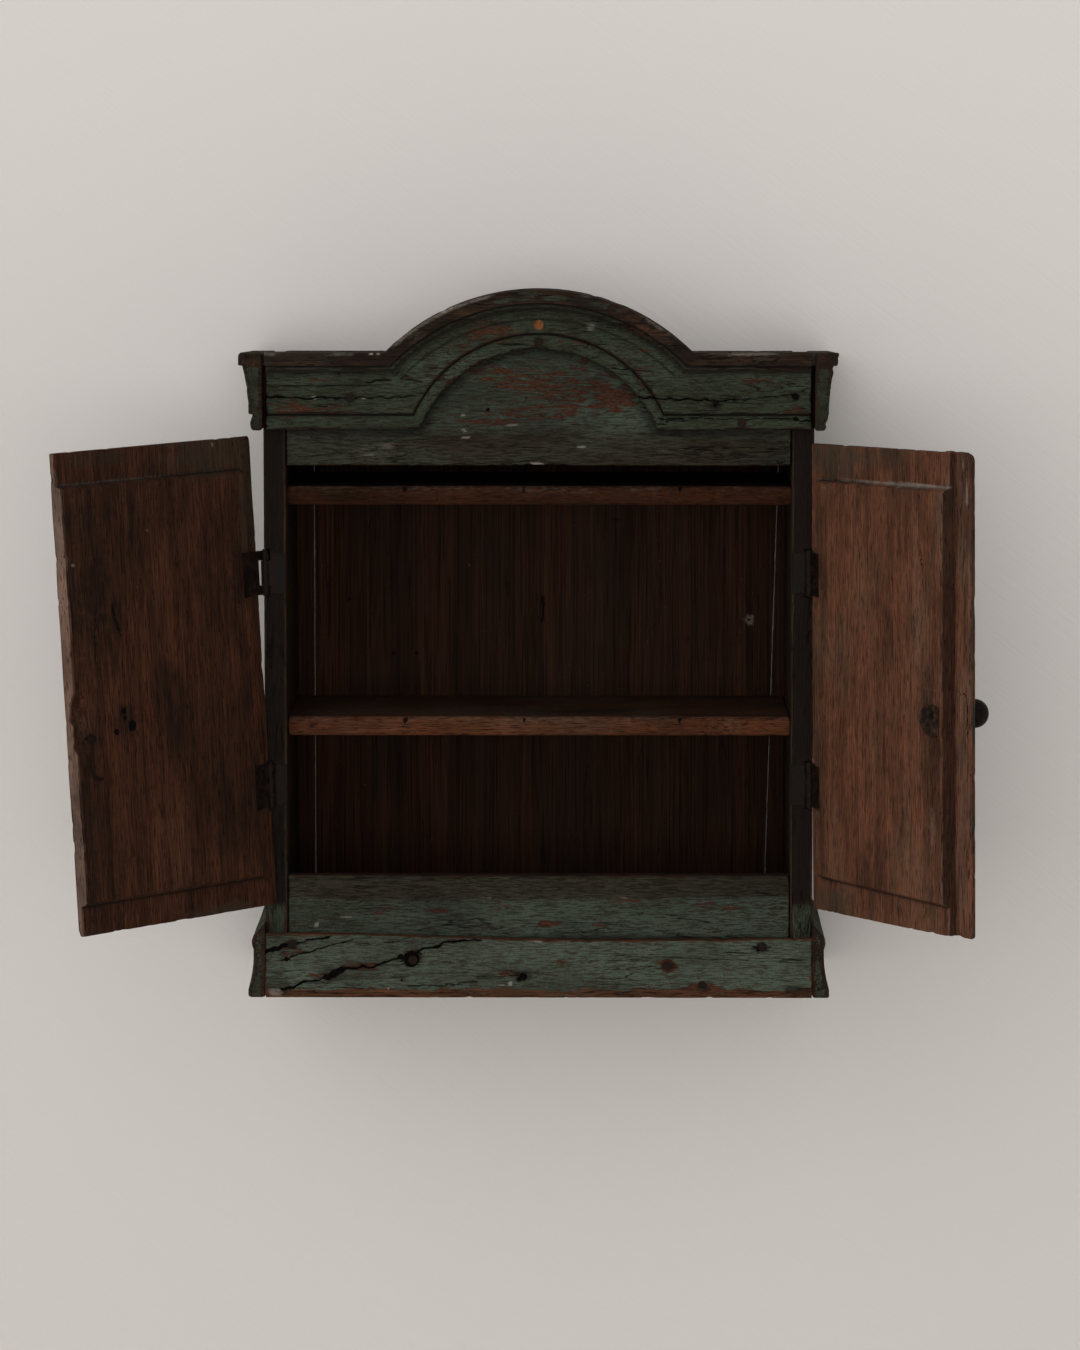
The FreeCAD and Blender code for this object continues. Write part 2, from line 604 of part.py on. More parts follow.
# Hinges: the door leaf carries the two outer knuckles, the case leaf the middle one.
for word, side in SIDES:
    for level in LEVELS:
        name = f"{word}_{level}_hinge"
        height = f"{level}_hinge"
        edge = leaf_edge(side, height)
        low, high = f"{height} - knuckle_half", f"{height} + knuckle_half"
        foot, head = f"{height} - door_leaf_half", f"{height} + door_leaf_half"
        axis = f"{side} * {pin_at(side, height)[0]}"
        case_y = (FRONT, f"{FRONT} + leaf_thick")
        door_y = (f"{LIP_Y} - leaf_thick", LIP_Y)
        plate = block(f"{name}_case_plate", outward(side, f"{OUTER} - case_leaf_width", edge), case_y,
                      (f"{height} - case_leaf_half", f"{height} + case_leaf_half"))
        web = block(f"{name}_case_web", outward(side, edge, axis), case_y, (low, high))
        knuckle = barrel(f"{name}_case_knuckle", side, "knuckle_radius", low, high)
        bore = barrel(f"{name}_case_bore", side, "pin_radius", foot, head)
        keep(cut(f"{name}_case_leaf", fuse(f"{name}_case_blank", [plate, web, knuckle]), [bore]))
        field_edge = f"{OUTER} - door_leaf_width"
        pieces = [block(f"{name}_door_plate", outward(side, field_edge, edge), door_y, (foot, head))]
        spans = {"foot": (foot, f"{low} - knuckle_gap"), "head": (f"{high} + knuckle_gap", head)}
        for end, span in spans.items():
            pieces.append(block(f"{name}_{end}_web", outward(side, edge, axis), door_y, span))
            pieces.append(barrel(f"{name}_{end}_knuckle", side, "knuckle_radius", *span))
        sleeve = barrel(f"{name}_door_bore", side, "pin_radius + pin_fit", f"{foot} - 3", f"{head} + 3")
        keep(cut(f"{name}_door_leaf", fuse(f"{name}_door_blank", pieces), [sleeve]), FRAMES[word])
        keep(barrel(f"{name}_pin", side, "pin_radius", f"{foot} - pin_over", f"{head} + pin_over"))

# Latch: knob, spindle and tongue turn together.
KNOB_Y = f"({STRIP_Y} - knob_clear)"
knob_section = outline("door_knob_face", TO_PLAN, [
    ("0", "0"), ("knob_radius * 0.55", "0"), ("knob_radius * 0.42", "knob_depth * 0.2"),
    ("knob_radius", "knob_depth * 0.56"), ("knob_radius * 0.25", "knob_depth"), ("0", "knob_depth"),
], {2: ("knob_radius * 0.86", 1), 3: ("knob_radius * 0.94", 1)})
stand(knob_section, "knob_x", KNOB_Y, "knob_z")
knob = doc.addObject("Part::Revolution", "door_knob")
knob.Source = knob_section
knob.Axis = FreeCAD.Vector(0, -1, 0)
knob.Solid = True
bind(knob, Base__x="knob_x", Base__y=KNOB_Y, Base__z="knob_z")
keep(gather("latch_knob", [knob]), FRAMES["right"])
spindle = rod("spindle_rod", "spindle_radius", f"{FIELD_Y} + knob_clear + tongue_thick - ({KNOB_Y})",
              "knob_x", KNOB_Y, "knob_z", TO_REAR)
keep(gather("latch_spindle", [spindle]), FRAMES["right"])
tongue_section = outline("latch_tongue_face", TO_FRONT, [
    ("knob_x - tongue_heel", "knob_z - tongue_drop"), ("knob_x + tongue_reach", "knob_z - tongue_drop * 0.2"),
    ("knob_x - tongue_heel", "knob_z + tongue_rise"),
], {0: ("tongue_round", 1), 1: ("tongue_round", 1)})
stand(tongue_section, y=f"{FIELD_Y} + knob_clear + tongue_thick")
tongue_bore = rod("latch_tongue_bore", "spindle_radius", "tongue_thick + 2", "knob_x",
                  f"{FIELD_Y} + knob_clear - 1", "knob_z", TO_REAR)
keep(cut("latch_tongue", extrude("latch_tongue_blank", tongue_section, "tongue_thick"), [tongue_bore]),
     FRAMES["right"])

# Hook: an eye on a nail, a straight shank and a bend towards the hinges.
HOOK_Y = f"({FIELD_Y} + hook_clear + hook_wire)"
eye = doc.addObject("Part::Torus", "hook_eye_ring")
eye.Placement = FreeCAD.Placement(FreeCAD.Vector(), TO_REAR)
bind(eye, Radius1="hook_eye", Radius2="hook_wire")
stand(eye, "hook_x", HOOK_Y, "hook_z")
shank = rod("hook_shank_rod", "hook_wire", "hook_shank", "hook_x", HOOK_Y, "hook_z - hook_eye - hook_shank")
bend = doc.addObject("Part::Torus", "hook_bend_ring")
bend.Placement = FreeCAD.Placement(FreeCAD.Vector(), TO_REAR)
bind(bend, Radius1="hook_bend", Radius2="hook_wire", Angle3="hook_sweep")
stand(bend, "hook_x - hook_bend", HOOK_Y, "hook_z - hook_eye - hook_shank")
keep(fuse("door_hook", [eye, shank, bend]), FRAMES["left"])
HEAD_Y = f"({HOOK_Y} + hook_wire + hook_clear)"
pivot = rod("hook_nail_shank", "pivot_radius", f"{HEAD_Y} - ({FIELD_Y}) + pivot_grip", "hook_x",
            f"{FIELD_Y} - pivot_grip", "hook_z", TO_REAR)
pivot_head = rod("hook_nail_head", "pivot_head", "nail_proud", "hook_x", HEAD_Y, "hook_z", TO_REAR)
keep(fuse("hook_nail", [pivot, pivot_head]), FRAMES["left"])

# Nails, one piece for each group that holds the same boards.


def nail(name, x, y, z, turn, head="nail_head", length="nail_length"):
    """Nail from the top of its head at (x, y, z) into the wood."""
    top = rod(f"{name}_head", head, "nail_proud + nail_radius", x, y, z, turn)
    stem = rod(f"{name}_stem", "nail_radius", length, x, y, z, turn)
    return fuse(name, [top, stem])


def front_nails(name, face, places, length="nail_length", head="nail_head", proud="nail_proud"):
    """Nails driven from the front; face is the Y of the wood."""
    return [
        nail(f"{name}_{index}", x, f"({face}) - ({proud})", z, TO_REAR, head, length)
        for index, (x, z) in enumerate(places)
    ]


def side_nail(name, side, out, y, z):
    """Nail driven through a side from outside; out is the distance of the wood's face."""
    lead = f"{side} * ({OUTER} + ({out}) + nail_proud)"
    return nail(name, lead, y, z, TO_LEFT if side > 0 else TO_RIGHT)


FASCIA_MID = "(cornice_foot + cornice_head) / 2 - bead_height / 2"
CORNICE_NAILS = [(f"-{INNER} * 0.74", FASCIA_MID)]
BEAD_NAILS = [("0", f"{BEAD_CROWN} + bead_height / 2"), (f"{INNER} * 0.8", "cornice_foot + bead_height / 2")]
keep(gather("cornice_nails", [
    *front_nails("cornice_nail", f"{FRONT} - fascia_proj", CORNICE_NAILS),
    *front_nails("bead_nail", f"{FRONT} - bead_proj", BEAD_NAILS),
]))
PLINTH_NAILS = [(f"{INNER} * {share}", f"plinth_head * {rise}")
                for share, rise in ((-0.5, 0.6), (0.51, 0.51), (-0.98, 0.85), (0.89, 0.82))]
PLINTH_FOOT_NAILS = [(f"{INNER} * 0.65", "plinth_foot_height * 1.75")]
plinth_group = front_nails("plinth_nail", f"{FRONT} - plinth_neck_proj", PLINTH_NAILS)
plinth_group += front_nails("plinth_foot_nail", f"{FRONT} - plinth_foot_proj * 0.9", PLINTH_FOOT_NAILS)
keep(gather("plinth_nails", plinth_group))
keep(gather("wooden_peg", [rod("peg_rod", "peg_radius", "peg_length", "0", f"{FRONT} - fascia_proj - 0.5",
                               f"{ARCH_CROWN} - peg_drop", TO_REAR)]))
STRIP_NAILS = [
    ("strip_seat / 2", f"{STRIP_FOOT} + {STRIP_HEIGHT} * {share}")
    for share in (0.08, 0.32, 0.68, 0.92)
]
strip_group = front_nails("cover_strip_nail", STRIP_Y, STRIP_NAILS, "strip_thick + lip_thick")
keep(gather("cover_strip_nails", strip_group), FRAMES["right"])
case_tacks = []
for word, side in SIDES:
    door_tacks = []
    for level in LEVELS:
        height = f"{level}_hinge"
        across = f"{side} * ({OUTER} - case_leaf_width + {leaf_edge(side, height)}) / 2"
        places = [(across, f"{height} + {step} * case_leaf_half * 0.6") for step in (-1, 1)]
        name = f"{word}_{level}_case_tack"
        case_tacks += front_nails(name, FRONT, places, "tack_length", "tack_head", "tack_proud")
        for index, (share, step) in enumerate(((0.4, -0.6), (0.4, 0.6), (0.8, 0))):
            x = f"{side} * ({OUTER} - door_leaf_width * {share})"
            z = f"{height} + door_leaf_half * {step}"
            top = f"{LIP_Y} + tack_proud"
            name = f"{word}_{level}_door_tack_{index}"
            door_tacks.append(nail(name, x, top, z, TO_FRONT, "tack_head", "tack_door_length"))
    keep(gather(f"{word}_door_hinge_nails", door_tacks), FRAMES[word])
keep(gather("case_hinge_nails", case_tacks))

shelf_group = []
return_group = []
for word, side in SIDES:
    for index, share in enumerate((0.25, 0.7)):
        y = f"-case_depth * {share}"
        for shelf in ("middle_shelf", "upper_shelf"):
            name = f"{word}_{shelf}_nail_{index}"
            shelf_group.append(side_nail(name, side, "0", y, f"{shelf}_top - shelf_thick / 2"))
        name = f"{word}_return_nail_{index}"
        return_group.append(side_nail(f"{name}_cornice", side, "fascia_proj", y, FASCIA_MID))
        return_group.append(side_nail(f"{name}_plinth", side, "plinth_neck_proj", y, "plinth_neck_height"))
keep(gather("shelf_nails", shelf_group))
keep(gather("return_nails", return_group))
back_group = []
for share in (-0.6, 0, 0.6):
    for shelf in ("middle_shelf", "upper_shelf"):
        name = f"back_nail_{len(back_group)}"
        back_group.append(nail(name, f"{INNER} * {share}", "0", f"{shelf}_top - shelf_thick / 2", TO_FRONT))
keep(gather("back_nails", back_group))

doc.recompute()
for obj in doc.Objects:
    if "Invalid" in obj.State or "Error" in obj.State:
        raise RuntimeError(f"{obj.Name} failed: {obj.State}")
os.makedirs("parts", exist_ok=True)
for node in nodes:
    if node.Shape.isNull() or not node.Shape.isValid():
        raise RuntimeError(f"{node.Label} has no valid shape")
    node.Shape.exportStep(f"parts/{node.Label}.step")
print(f"{len(nodes)} pieces written")
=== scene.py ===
"""Wall cupboard in worn painted wood: weathered boards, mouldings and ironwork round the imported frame."""
import json
import math

import bpy
import numpy as np
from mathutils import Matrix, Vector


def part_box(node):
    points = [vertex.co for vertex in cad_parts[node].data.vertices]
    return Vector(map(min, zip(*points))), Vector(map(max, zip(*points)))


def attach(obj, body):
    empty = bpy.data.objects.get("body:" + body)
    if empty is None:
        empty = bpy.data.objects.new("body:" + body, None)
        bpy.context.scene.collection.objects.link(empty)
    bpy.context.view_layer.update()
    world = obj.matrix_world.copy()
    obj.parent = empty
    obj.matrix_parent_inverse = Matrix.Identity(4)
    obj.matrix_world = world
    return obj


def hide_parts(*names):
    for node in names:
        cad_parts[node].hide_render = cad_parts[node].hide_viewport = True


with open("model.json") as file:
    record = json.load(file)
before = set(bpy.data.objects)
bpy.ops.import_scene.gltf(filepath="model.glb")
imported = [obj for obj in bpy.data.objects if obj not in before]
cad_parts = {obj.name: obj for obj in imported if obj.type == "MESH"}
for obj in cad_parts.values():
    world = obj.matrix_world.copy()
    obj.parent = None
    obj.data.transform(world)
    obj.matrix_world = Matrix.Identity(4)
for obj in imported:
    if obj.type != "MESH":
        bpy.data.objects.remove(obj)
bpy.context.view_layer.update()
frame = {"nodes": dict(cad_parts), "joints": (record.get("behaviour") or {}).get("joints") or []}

MM = 0.001
NODES = frame["nodes"]
JOINTS = {joint["name"]: joint for joint in frame["joints"]}

# Sizes in mm that the frame's boxes don't give.
CASE_FRONT = -227.0
CORNICE_FOOT, CORNICE_HEAD = 567.0, 644.0
ARCH_RADIUS, ARCH_RISE = 217.0, 62.0
BEAD_RADIUS, BEAD_RISE = 126.0, 80.0
BEAD_HEIGHT, BEAD_GROOVE = 14.0, 2.0
GROUND, FASCIA, COVE, FILLET, BEAD = 10.0, 13.5, 21.0, 26.0, 14.5
FILLET_HEIGHT, COVE_START, COVE_END = 13.0, 18.0, 29.0
PLINTH_FOOT, PLINTH_NECK = 17.0, 11.5
PLINTH_FOOT_HEIGHT, PLINTH_NECK_HEIGHT, PLINTH_HEAD, RETURN_HEAD = 7.0, 48.0, 62.0, 74.0
LIP_THICK, FIELD_THICK, LEAF_THICK = 8.5, 16.5, 1.6
DOOR_FACE = -236.9
FIELD_FOOT, FIELD_END = 122.2, 248.5
FIELD_HEAD = {"left": 528.5, "right": 518.5}
DOOR_SPAN = {"left": (93.0, 560.6), "right": (88.4, 553.2)}
DOOR_RISE = {"left": 0.0, "right": 5.2}
DOOR_MEET = 1.0
DOOR_END = {"left": 264.8, "right": 265.6}
HINGE_LEVELS = (212.0, 424.0)
CASE_LEAF, CASE_LEAF_HALF = 252.0, 20.0
DOOR_LEAF, DOOR_LEAF_HALF = 237.0, 22.0
NOTCH_RADIUS, NOTCH_HALF = 5.05, 24.3
RETURN_HOLLOW, RETURN_FALL = 55.0, 12.0
RETURN_BEAD, RETURN_COVE, RETURN_FILLET = 11.8, 19.5, 23.5
HANG_LEVEL, HANG_X, HANG_RADIUS = 556.0, 150.0, 4.0
SIDE_INNER, BACK_GAP = 251.0, 18.0
STRIP_LEFT, STRIP_RIGHT, STRIP_FACE = -23.0, 22.0, -245.9


# Worn surfaces

def rumble(x, y, size, seed):
    """Smooth noise from -1 to 1: random numbers on a square lattice, eased between its corners."""
    table = np.random.default_rng(seed).uniform(-1, 1, (61, 61))
    x, y = np.broadcast_arrays(np.asarray(x, float) / size, np.asarray(y, float) / size)
    i, j = np.floor(x).astype(int), np.floor(y).astype(int)
    u, v = x - i, y - j
    u, v = u * u * (3 - 2 * u), v * v * (3 - 2 * v)
    low = table[i % 61, j % 61] * (1 - u) + table[(i + 1) % 61, j % 61] * u
    high = table[i % 61, (j + 1) % 61] * (1 - u) + table[(i + 1) % 61, (j + 1) % 61] * u
    return low * (1 - v) + high * v


def ease(value, low, high):
    """Smooth step from 0 at low to 1 at high."""
    t = np.clip((value - low) / (high - low), 0, 1)
    return t * t * (3 - 2 * t)


def fall(distance, radius):
    """Drop of a rounded arris at a distance from its edge: a quarter circle of that radius."""
    reach = np.clip(radius - distance, 0, radius)
    return radius - np.sqrt(radius ** 2 - reach ** 2)


def arris(run, lane, edge, chips, seed):
    """Worn radius along an edge: it swells and shrinks slowly, with deeper bites where the noise peaks."""
    swell = 1 + 0.45 * rumble(run, lane, 41, seed)
    bite = rumble(run, lane, 13, seed + 1) + 0.5 * rumble(run, lane, 5, seed + 2) - 0.6
    return edge * swell + chips * np.maximum(bite, 0)


def segment_distance(x, y, first, last):
    """Distance to a straight stretch: to the nearest point between its two ends."""
    dx, dy = last[0] - first[0], last[1] - first[1]
    share = np.clip(((x - first[0]) * dx + (y - first[1]) * dy) / (dx * dx + dy * dy), 0, 1)
    return np.hypot(x - first[0] - share * dx, y - first[1] - share * dy)


def cracks(x, y, table, pits=()):
    """Cracks along broken lines and round holes: the depth mask, the signed distance to the nearest line, and
    its half width there, which falls below 0 past its ends and away from it."""
    px, py = x + 0.9 * rumble(x, y, 4, 72), y + 1.2 * rumble(x, y, 5, 73)
    mask, line, half = np.zeros_like(x), np.full_like(x, 5.0), np.full_like(x, -1.0)
    for corners, width in table:
        ragged = width * (1 + 0.5 * rumble(x, y, 6, 71)) / 2
        for first, last in zip(corners[:-1], corners[1:]):
            reach = math.hypot(last[0] - first[0], last[1] - first[1])
            away = segment_distance(px, py, first, last)
            off = ((last[0] - first[0]) * (py - first[1]) - (last[1] - first[1]) * (px - first[0])) / reach
            past = np.sqrt(np.maximum(away ** 2 - off ** 2, 0))
            open_half = ragged - 0.5 * past - 1.5 * np.maximum(away - ragged - 2.2, 0)
            closer = np.abs(off) - open_half < np.abs(line) - half
            line, half = np.where(closer, np.clip(off, -9, 9), line), np.where(closer, open_half, half)
            mask = np.maximum(mask, 1 - ease(away, 0.35 * ragged, ragged + 0.7))
    for centre, radius in pits:
        away = np.hypot(x + 0.8 * rumble(x, y, 3, 8) - centre[0], y + 0.8 * rumble(x, y, 3, 9) - centre[1])
        closer = away - radius < np.abs(line) - half
        line, half = np.where(closer, away, line), np.where(closer, radius, half)
        mask = np.maximum(mask, 1 - ease(away, 0.7 * radius, 1.15 * radius))
    return mask, np.clip(line, -9, 9), np.clip(half, -3, 9)


def blots(x, y, table):
    """Ragged blotches: each row gives the middle, two half sizes and a strength; noise breaks up their
    rims."""
    mask = np.zeros_like(x)
    for cx, cy, half_x, half_y, strength in table:
        away = np.hypot((x - cx) / half_x, (y - cy) / half_y)
        away = away + 0.30 * rumble(x, y * 2.5, 11, 81) + 0.22 * rumble(x, y * 3, 4, 82)
        mask = np.maximum(mask, strength * (1 - ease(away, 0.55, 1.1)))
    return mask


def grid_lines(length, step, stops=()):
    """Grid lines over a length: close together at both ends and at each stop, about a step apart between."""
    near = np.array([0, 0.3, 0.8, 1.5, 2.5, 4.0, 6.0])
    beside = np.array([-1.2, -0.3, 0.3, 1.2])
    marks = np.concatenate([near, length - near] + [stop + beside for stop in stops])
    marks = np.unique(np.round(np.clip(marks, 0, length), 2))
    parts = [np.linspace(low, high, max(math.ceil((high - low) / step), 1), endpoint=False)
             for low, high in zip(marks[:-1], marks[1:])]
    return np.append(np.concatenate(parts), length)


WALL_SHARES = (0.03, 0.12, 0.3, 0.5, 0.7, 0.88, 0.97)


def close_sheets(front, back, fields, walls, seed):
    """Points, quads and attributes of a solid between two sheets of one grid: both sheets, and rings round
    their borders at shares of the way from the first to the second. Rings are worn near both arrises; walls
    hold the values of attributes that the edges don't share with the sheets."""
    rows, columns = front.shape[:2]
    index = np.arange(rows * columns).reshape(rows, columns)
    face = np.stack([index[:-1, :-1], index[1:, :-1], index[1:, 1:], index[:-1, 1:]], -1).reshape(-1, 4)
    rim = np.concatenate([index[0, :-1], index[:-1, -1], index[-1, :0:-1], index[:0:-1, 0]])
    points = np.concatenate([front.reshape(-1, 3), back.reshape(-1, 3)])
    near, far = points[rim], points[rim + index.size]
    rings = [near * (1 - share) + far * share for share in WALL_SHARES]
    levels = [rim] + [2 * index.size + k * len(rim) + np.arange(len(rim)) for k in range(len(rings))]
    levels.append(rim + index.size)
    bands = [np.stack([one, np.roll(one, -1), np.roll(two, -1), two], -1)
             for one, two in zip(levels[:-1], levels[1:])]
    quads = np.concatenate([face, face[:, ::-1] + index.size] + bands)
    points = np.concatenate([points] + rings)
    thick = np.linalg.norm(near - far, axis=1)
    reach = 3.2 * (1 + 0.7 * rumble(np.arange(len(rim)) * 2.5, 0.0, 19, seed + 60))
    for label, values in fields.items():
        ends = values[rim], values[rim + index.size]
        if label in walls:
            added = [walls[label].ravel()[rim]] * len(WALL_SHARES)
        elif label == "wear":
            added = [np.clip(1 - min(share, 1 - share) * thick / reach, 0, 1) for share in WALL_SHARES]
        else:
            added = [ends[0] * (1 - share) + ends[1] * share for share in WALL_SHARES]
        fields[label] = np.concatenate([values] + added)
    one, two, three, four = (points[quads[:, k]] for k in range(4))
    volume = np.sum(one * np.cross(two, three)) + np.sum(one * np.cross(three, four))
    return points, quads if volume > 0 else quads[:, ::-1]


def make_piece(name, body, finish, points, quads, fields):
    """Puts points in mm and quads into a mesh with its attributes, and sets it on a body in place of its
    node."""
    mesh = bpy.data.meshes.new(name)
    mesh.vertices.add(len(points))
    mesh.vertices.foreach_set("co", (points * MM).ravel())
    mesh.loops.add(quads.size)
    mesh.loops.foreach_set("vertex_index", np.ascontiguousarray(quads, np.int32).ravel())
    mesh.polygons.add(len(quads))
    mesh.polygons.foreach_set("loop_start", np.arange(0, quads.size, 4, dtype=np.int32))
    mesh.polygons.foreach_set("use_smooth", np.ones(len(quads), bool))
    for label, values in fields.items():
        kind, key = ("FLOAT_VECTOR", "vector") if values.ndim == 2 else ("FLOAT", "value")
        attribute = mesh.attributes.new(label, kind, "POINT")
        attribute.data.foreach_set(key, np.asarray(values, np.float32).ravel())
    mesh.update()
    mesh.validate()
    mesh.set_sharp_from_angle(angle=math.radians(55))
    mesh.materials.append(finish)
    piece = bpy.data.objects.new(name, mesh)
    bpy.context.scene.collection.objects.link(piece)
    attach(piece, body)
    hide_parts(name)
    return piece


def box_mm(node):
    """Lowest and highest corner of a node, in mm."""
    return np.array(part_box(node)) / MM


def lay(low, high, order):
    """Corner, axes and size of a board in a box; order names its along, across and outward axes, as 'z y
    -x'."""
    corner, axes, size = np.zeros(3), [], []
    for word in order.split():
        number, sign = "xyz".index(word[-1]), -1 if word[0] == "-" else 1
        axes.append(sign * np.eye(3)[number])
        corner[number] = low[number] if sign > 0 else high[number]
        size.append(high[number] - low[number])
    return corner, np.array(axes), size


def bare(a, b):
    """No paint."""
    return np.zeros_like(a)


def coated(a, b):
    """Paint all over."""
    return np.ones_like(a)


TINTS = ("red", "dull", "dust", "rub")


def worn_board(name, place, finish, body="case", front=None, back=None, shape=None, paint=coated,
               back_paint=bare, walls=None, marks=None, back_marks=None, tints=None, back_tints=None,
               edge=1.5, chips=2.2, step=3.0, stops=((), ()), swing=None, seed=1, bow=0.25):
    """Closed board of two sheets over an along-by-across grid. Each sheet is its height function, less a
    quarter-round drop at the four edges whose radius follows worn arrises, plus a slow rumble; the borders
    step inwards where the edges are chipped. Attributes hold the grain place, edge wear, grime and painted
    shade (grime_and_shade), paint, the lines and half widths of cracks, and the named tints; walls gives
    numbers or functions for the edges."""
    corner, axes, (length, width, thick) = place
    along, across = np.meshgrid(grid_lines(length, step, stops[0]), grid_lines(width, step, stops[1]),
                                indexing="ij")
    rims = ((along, across, 0), (length - along, across, 1), (across, along, 2), (width - across, along, 3))
    height = front or (lambda a, b: np.full_like(a, thick))
    floor = back or (lambda a, b: np.zeros_like(a))
    edges = {label: np.broadcast_to(item(along, across) if callable(item) else item, along.shape)
             for label, item in {"grime_and_shade": 0.0, **(walls or {})}.items()}
    sheets, fields = [], {label: [] for label in ("grain", "wear", "grime_and_shade", "paint", "line", "half", *TINTS)}
    plan_along, plan_across = (along, across) if shape is None else shape(along, across)
    bites = []
    for away, run, lane in rims:
        bite = rumble(run, 17.3 * lane, 17, seed + 40) + 0.6 * rumble(run, 9.1 * lane, 6, seed + 41) - 0.55
        bites.append(np.maximum(bite, 0) * chips * 0.7 * (1 - ease(away, 0, 9)))
    plan_along = plan_along + bites[0] - bites[1]
    plan_across = plan_across + bites[2] - bites[3]
    for side, level, coat, cuts, hues in ((1, height, paint, marks, tints),
                                          (-1, floor, back_paint, back_marks, back_tints)):
        start = level(along, across)
        around = sum(level(np.clip(along + da, 0, length), np.clip(across + db, 0, width))
                     for da, db in ((2, 0), (-2, 0), (0, 2), (0, -2))) / 4
        hollow = side * (around - start)
        side_seed = seed + (0 if side > 0 else 20)
        limit = 0.44 * np.maximum(height(along, across) - floor(along, across), 0.8)
        radii = [np.minimum(arris(run, 23.7 * lane, edge, chips, side_seed), limit)
                 for away, run, lane in rims]
        drop = sum(fall(away, radius) for (away, run, lane), radius in zip(rims, radii))
        waves = bow * (rumble(along, across, 70, side_seed + 7)
                       + 0.4 * rumble(along, across * 4, 24, side_seed + 8))
        inset = np.min([away for away, run, lane in rims], axis=0)
        depth, line, half = cuts(along, across) if cuts else cracks(along, across, ())
        deep = start - side * (np.minimum(drop, limit) + 2.6 * depth) + waves * ease(inset, 0, 8)
        sheets.append(np.stack([plan_along, plan_across, deep], -1))
        reach = 2.9 * (1 + 0.9 * rumble(along, across, 19, side_seed + 9))
        wear = np.maximum(1 - inset / np.maximum(reach, 0.6), 0) + np.clip(-hollow / 0.9, 0, 1)
        fields["grain"].append(sheets[-1].reshape(-1, 3) * MM + 0.37 * seed)
        fields["wear"].append(np.clip(wear, 0, 1).ravel())
        # grime_and_shade from the sheet's hollows: painted shade, darker where the surface dips
        fields["grime_and_shade"].append(np.clip(hollow / 1.1, 0, 1).ravel())
        fields["paint"].append(np.clip(coat(along, across), 0, 1).ravel())
        fields["line"].append(line.ravel())
        fields["half"].append(half.ravel())
        for label in TINTS:
            fields[label].append(np.zeros(along.size))
        for label, tint in (hues or {}).items():
            fields[label][-1] = np.clip(fields[label][-1] + tint(along, across).ravel(), 0, 1)
    fields = {label: np.concatenate(parts) for label, parts in fields.items()}
    points, quads = close_sheets(*sheets, fields, edges, seed)
    points = corner + points @ axes
    if np.linalg.det(axes) < 0:
        quads = quads[:, ::-1]
    if swing:
        points = swing_open(points, swing)
    return make_piece(name, body, finish, points, quads, fields)


def swing_open(points, joint_name):
    """Turns points from the closed door to the door as it stands at rest, about the hinge line."""
    joint = JOINTS[joint_name]
    axis = np.array(joint["axis"]) / np.linalg.norm(joint["axis"])
    pivot = np.array(joint["pos_m"]) / MM
    angle = -math.radians(joint["range_deg"][0])
    arm = points - pivot
    turned = arm * math.cos(angle) + np.cross(axis, arm) * math.sin(angle)
    return pivot + turned + np.outer(arm @ axis, axis) * (1 - math.cos(angle))


def hinge_line(side, level):
    """Distance of a hinge line from the middle and its Y at a level, on the closed door."""
    joint = JOINTS[f"{side}_door_hinge"]
    axis, pivot = np.array(joint["axis"]), np.array(joint["pos_m"]) / MM
    x, y = (pivot + axis * (level - pivot[2]) / axis[2])[:2]
    return abs(x), y


# Shading

VECTOR, COLOUR, FLOAT = "NodeSocketVector", "NodeSocketColor", "NodeSocketFloat"


class Recipe:
    """Fills a node tree: each method adds a node and gives back its output."""

    def __init__(self, tree):
        self.tree = tree

    def add(self, kind, inputs=None, **settings):
        node = self.tree.nodes.new(kind)
        for key, item in settings.items():
            setattr(node, key, item)
        for key, item in (inputs or {}).items():
            if isinstance(item, bpy.types.NodeSocket):
                self.tree.links.new(item, node.inputs[key])
            else:
                node.inputs[key].default_value = item
        return node

    def math(self, operation, first, second=0.0, clamp=False):
        return self.add("ShaderNodeMath", {0: first, 1: second}, operation=operation,
                        use_clamp=clamp).outputs[0]

    def step(self, item, low, high, start=0.0, end=1.0):
        """Smooth step of a value, from start at low to end at high."""
        return self.add("ShaderNodeMapRange", {0: item, 1: low, 2: high, 3: start, 4: end},
                        interpolation_type="SMOOTHSTEP").outputs[0]

    def mix(self, share, first, second, blend="MIX"):
        return self.add("ShaderNodeMix", {0: share, 6: first, 7: second}, data_type="RGBA",
                        blend_type=blend).outputs[2]

    def scaled(self, vector, factors):
        return self.add("ShaderNodeVectorMath", {0: vector, 1: factors}, operation="MULTIPLY").outputs[0]

    def noise(self, vector, factors, detail=3.0, roughness=0.55, distortion=0.0):
        """Noise in a stretched space: factors are features per metre along each axis."""
        inputs = {"Vector": self.scaled(vector, factors), "Scale": 1.0, "Detail": detail,
                  "Roughness": roughness, "Distortion": distortion}
        return self.add("ShaderNodeTexNoise", inputs).outputs[0]

    def attribute(self, name, output="Fac"):
        return self.add("ShaderNodeAttribute", attribute_name=name).outputs[output]

    def call(self, group, inputs):
        """Places a node group and gives back its outputs."""
        return self.add("ShaderNodeGroup", inputs, node_tree=group).outputs

    def link(self, output, socket):
        self.tree.links.new(output, socket)


def node_group(name, inputs, outputs):
    """New shader group with its sockets, the recipe to fill it, its inputs and its outputs."""
    tree = bpy.data.node_groups.new(name, "ShaderNodeTree")
    for label, kind in inputs:
        tree.interface.new_socket(label, in_out="INPUT", socket_type=kind)
    for label, kind in outputs:
        tree.interface.new_socket(label, in_out="OUTPUT", socket_type=kind)
    recipe = Recipe(tree)
    return tree, recipe, recipe.add("NodeGroupInput").outputs, recipe.add("NodeGroupOutput").inputs


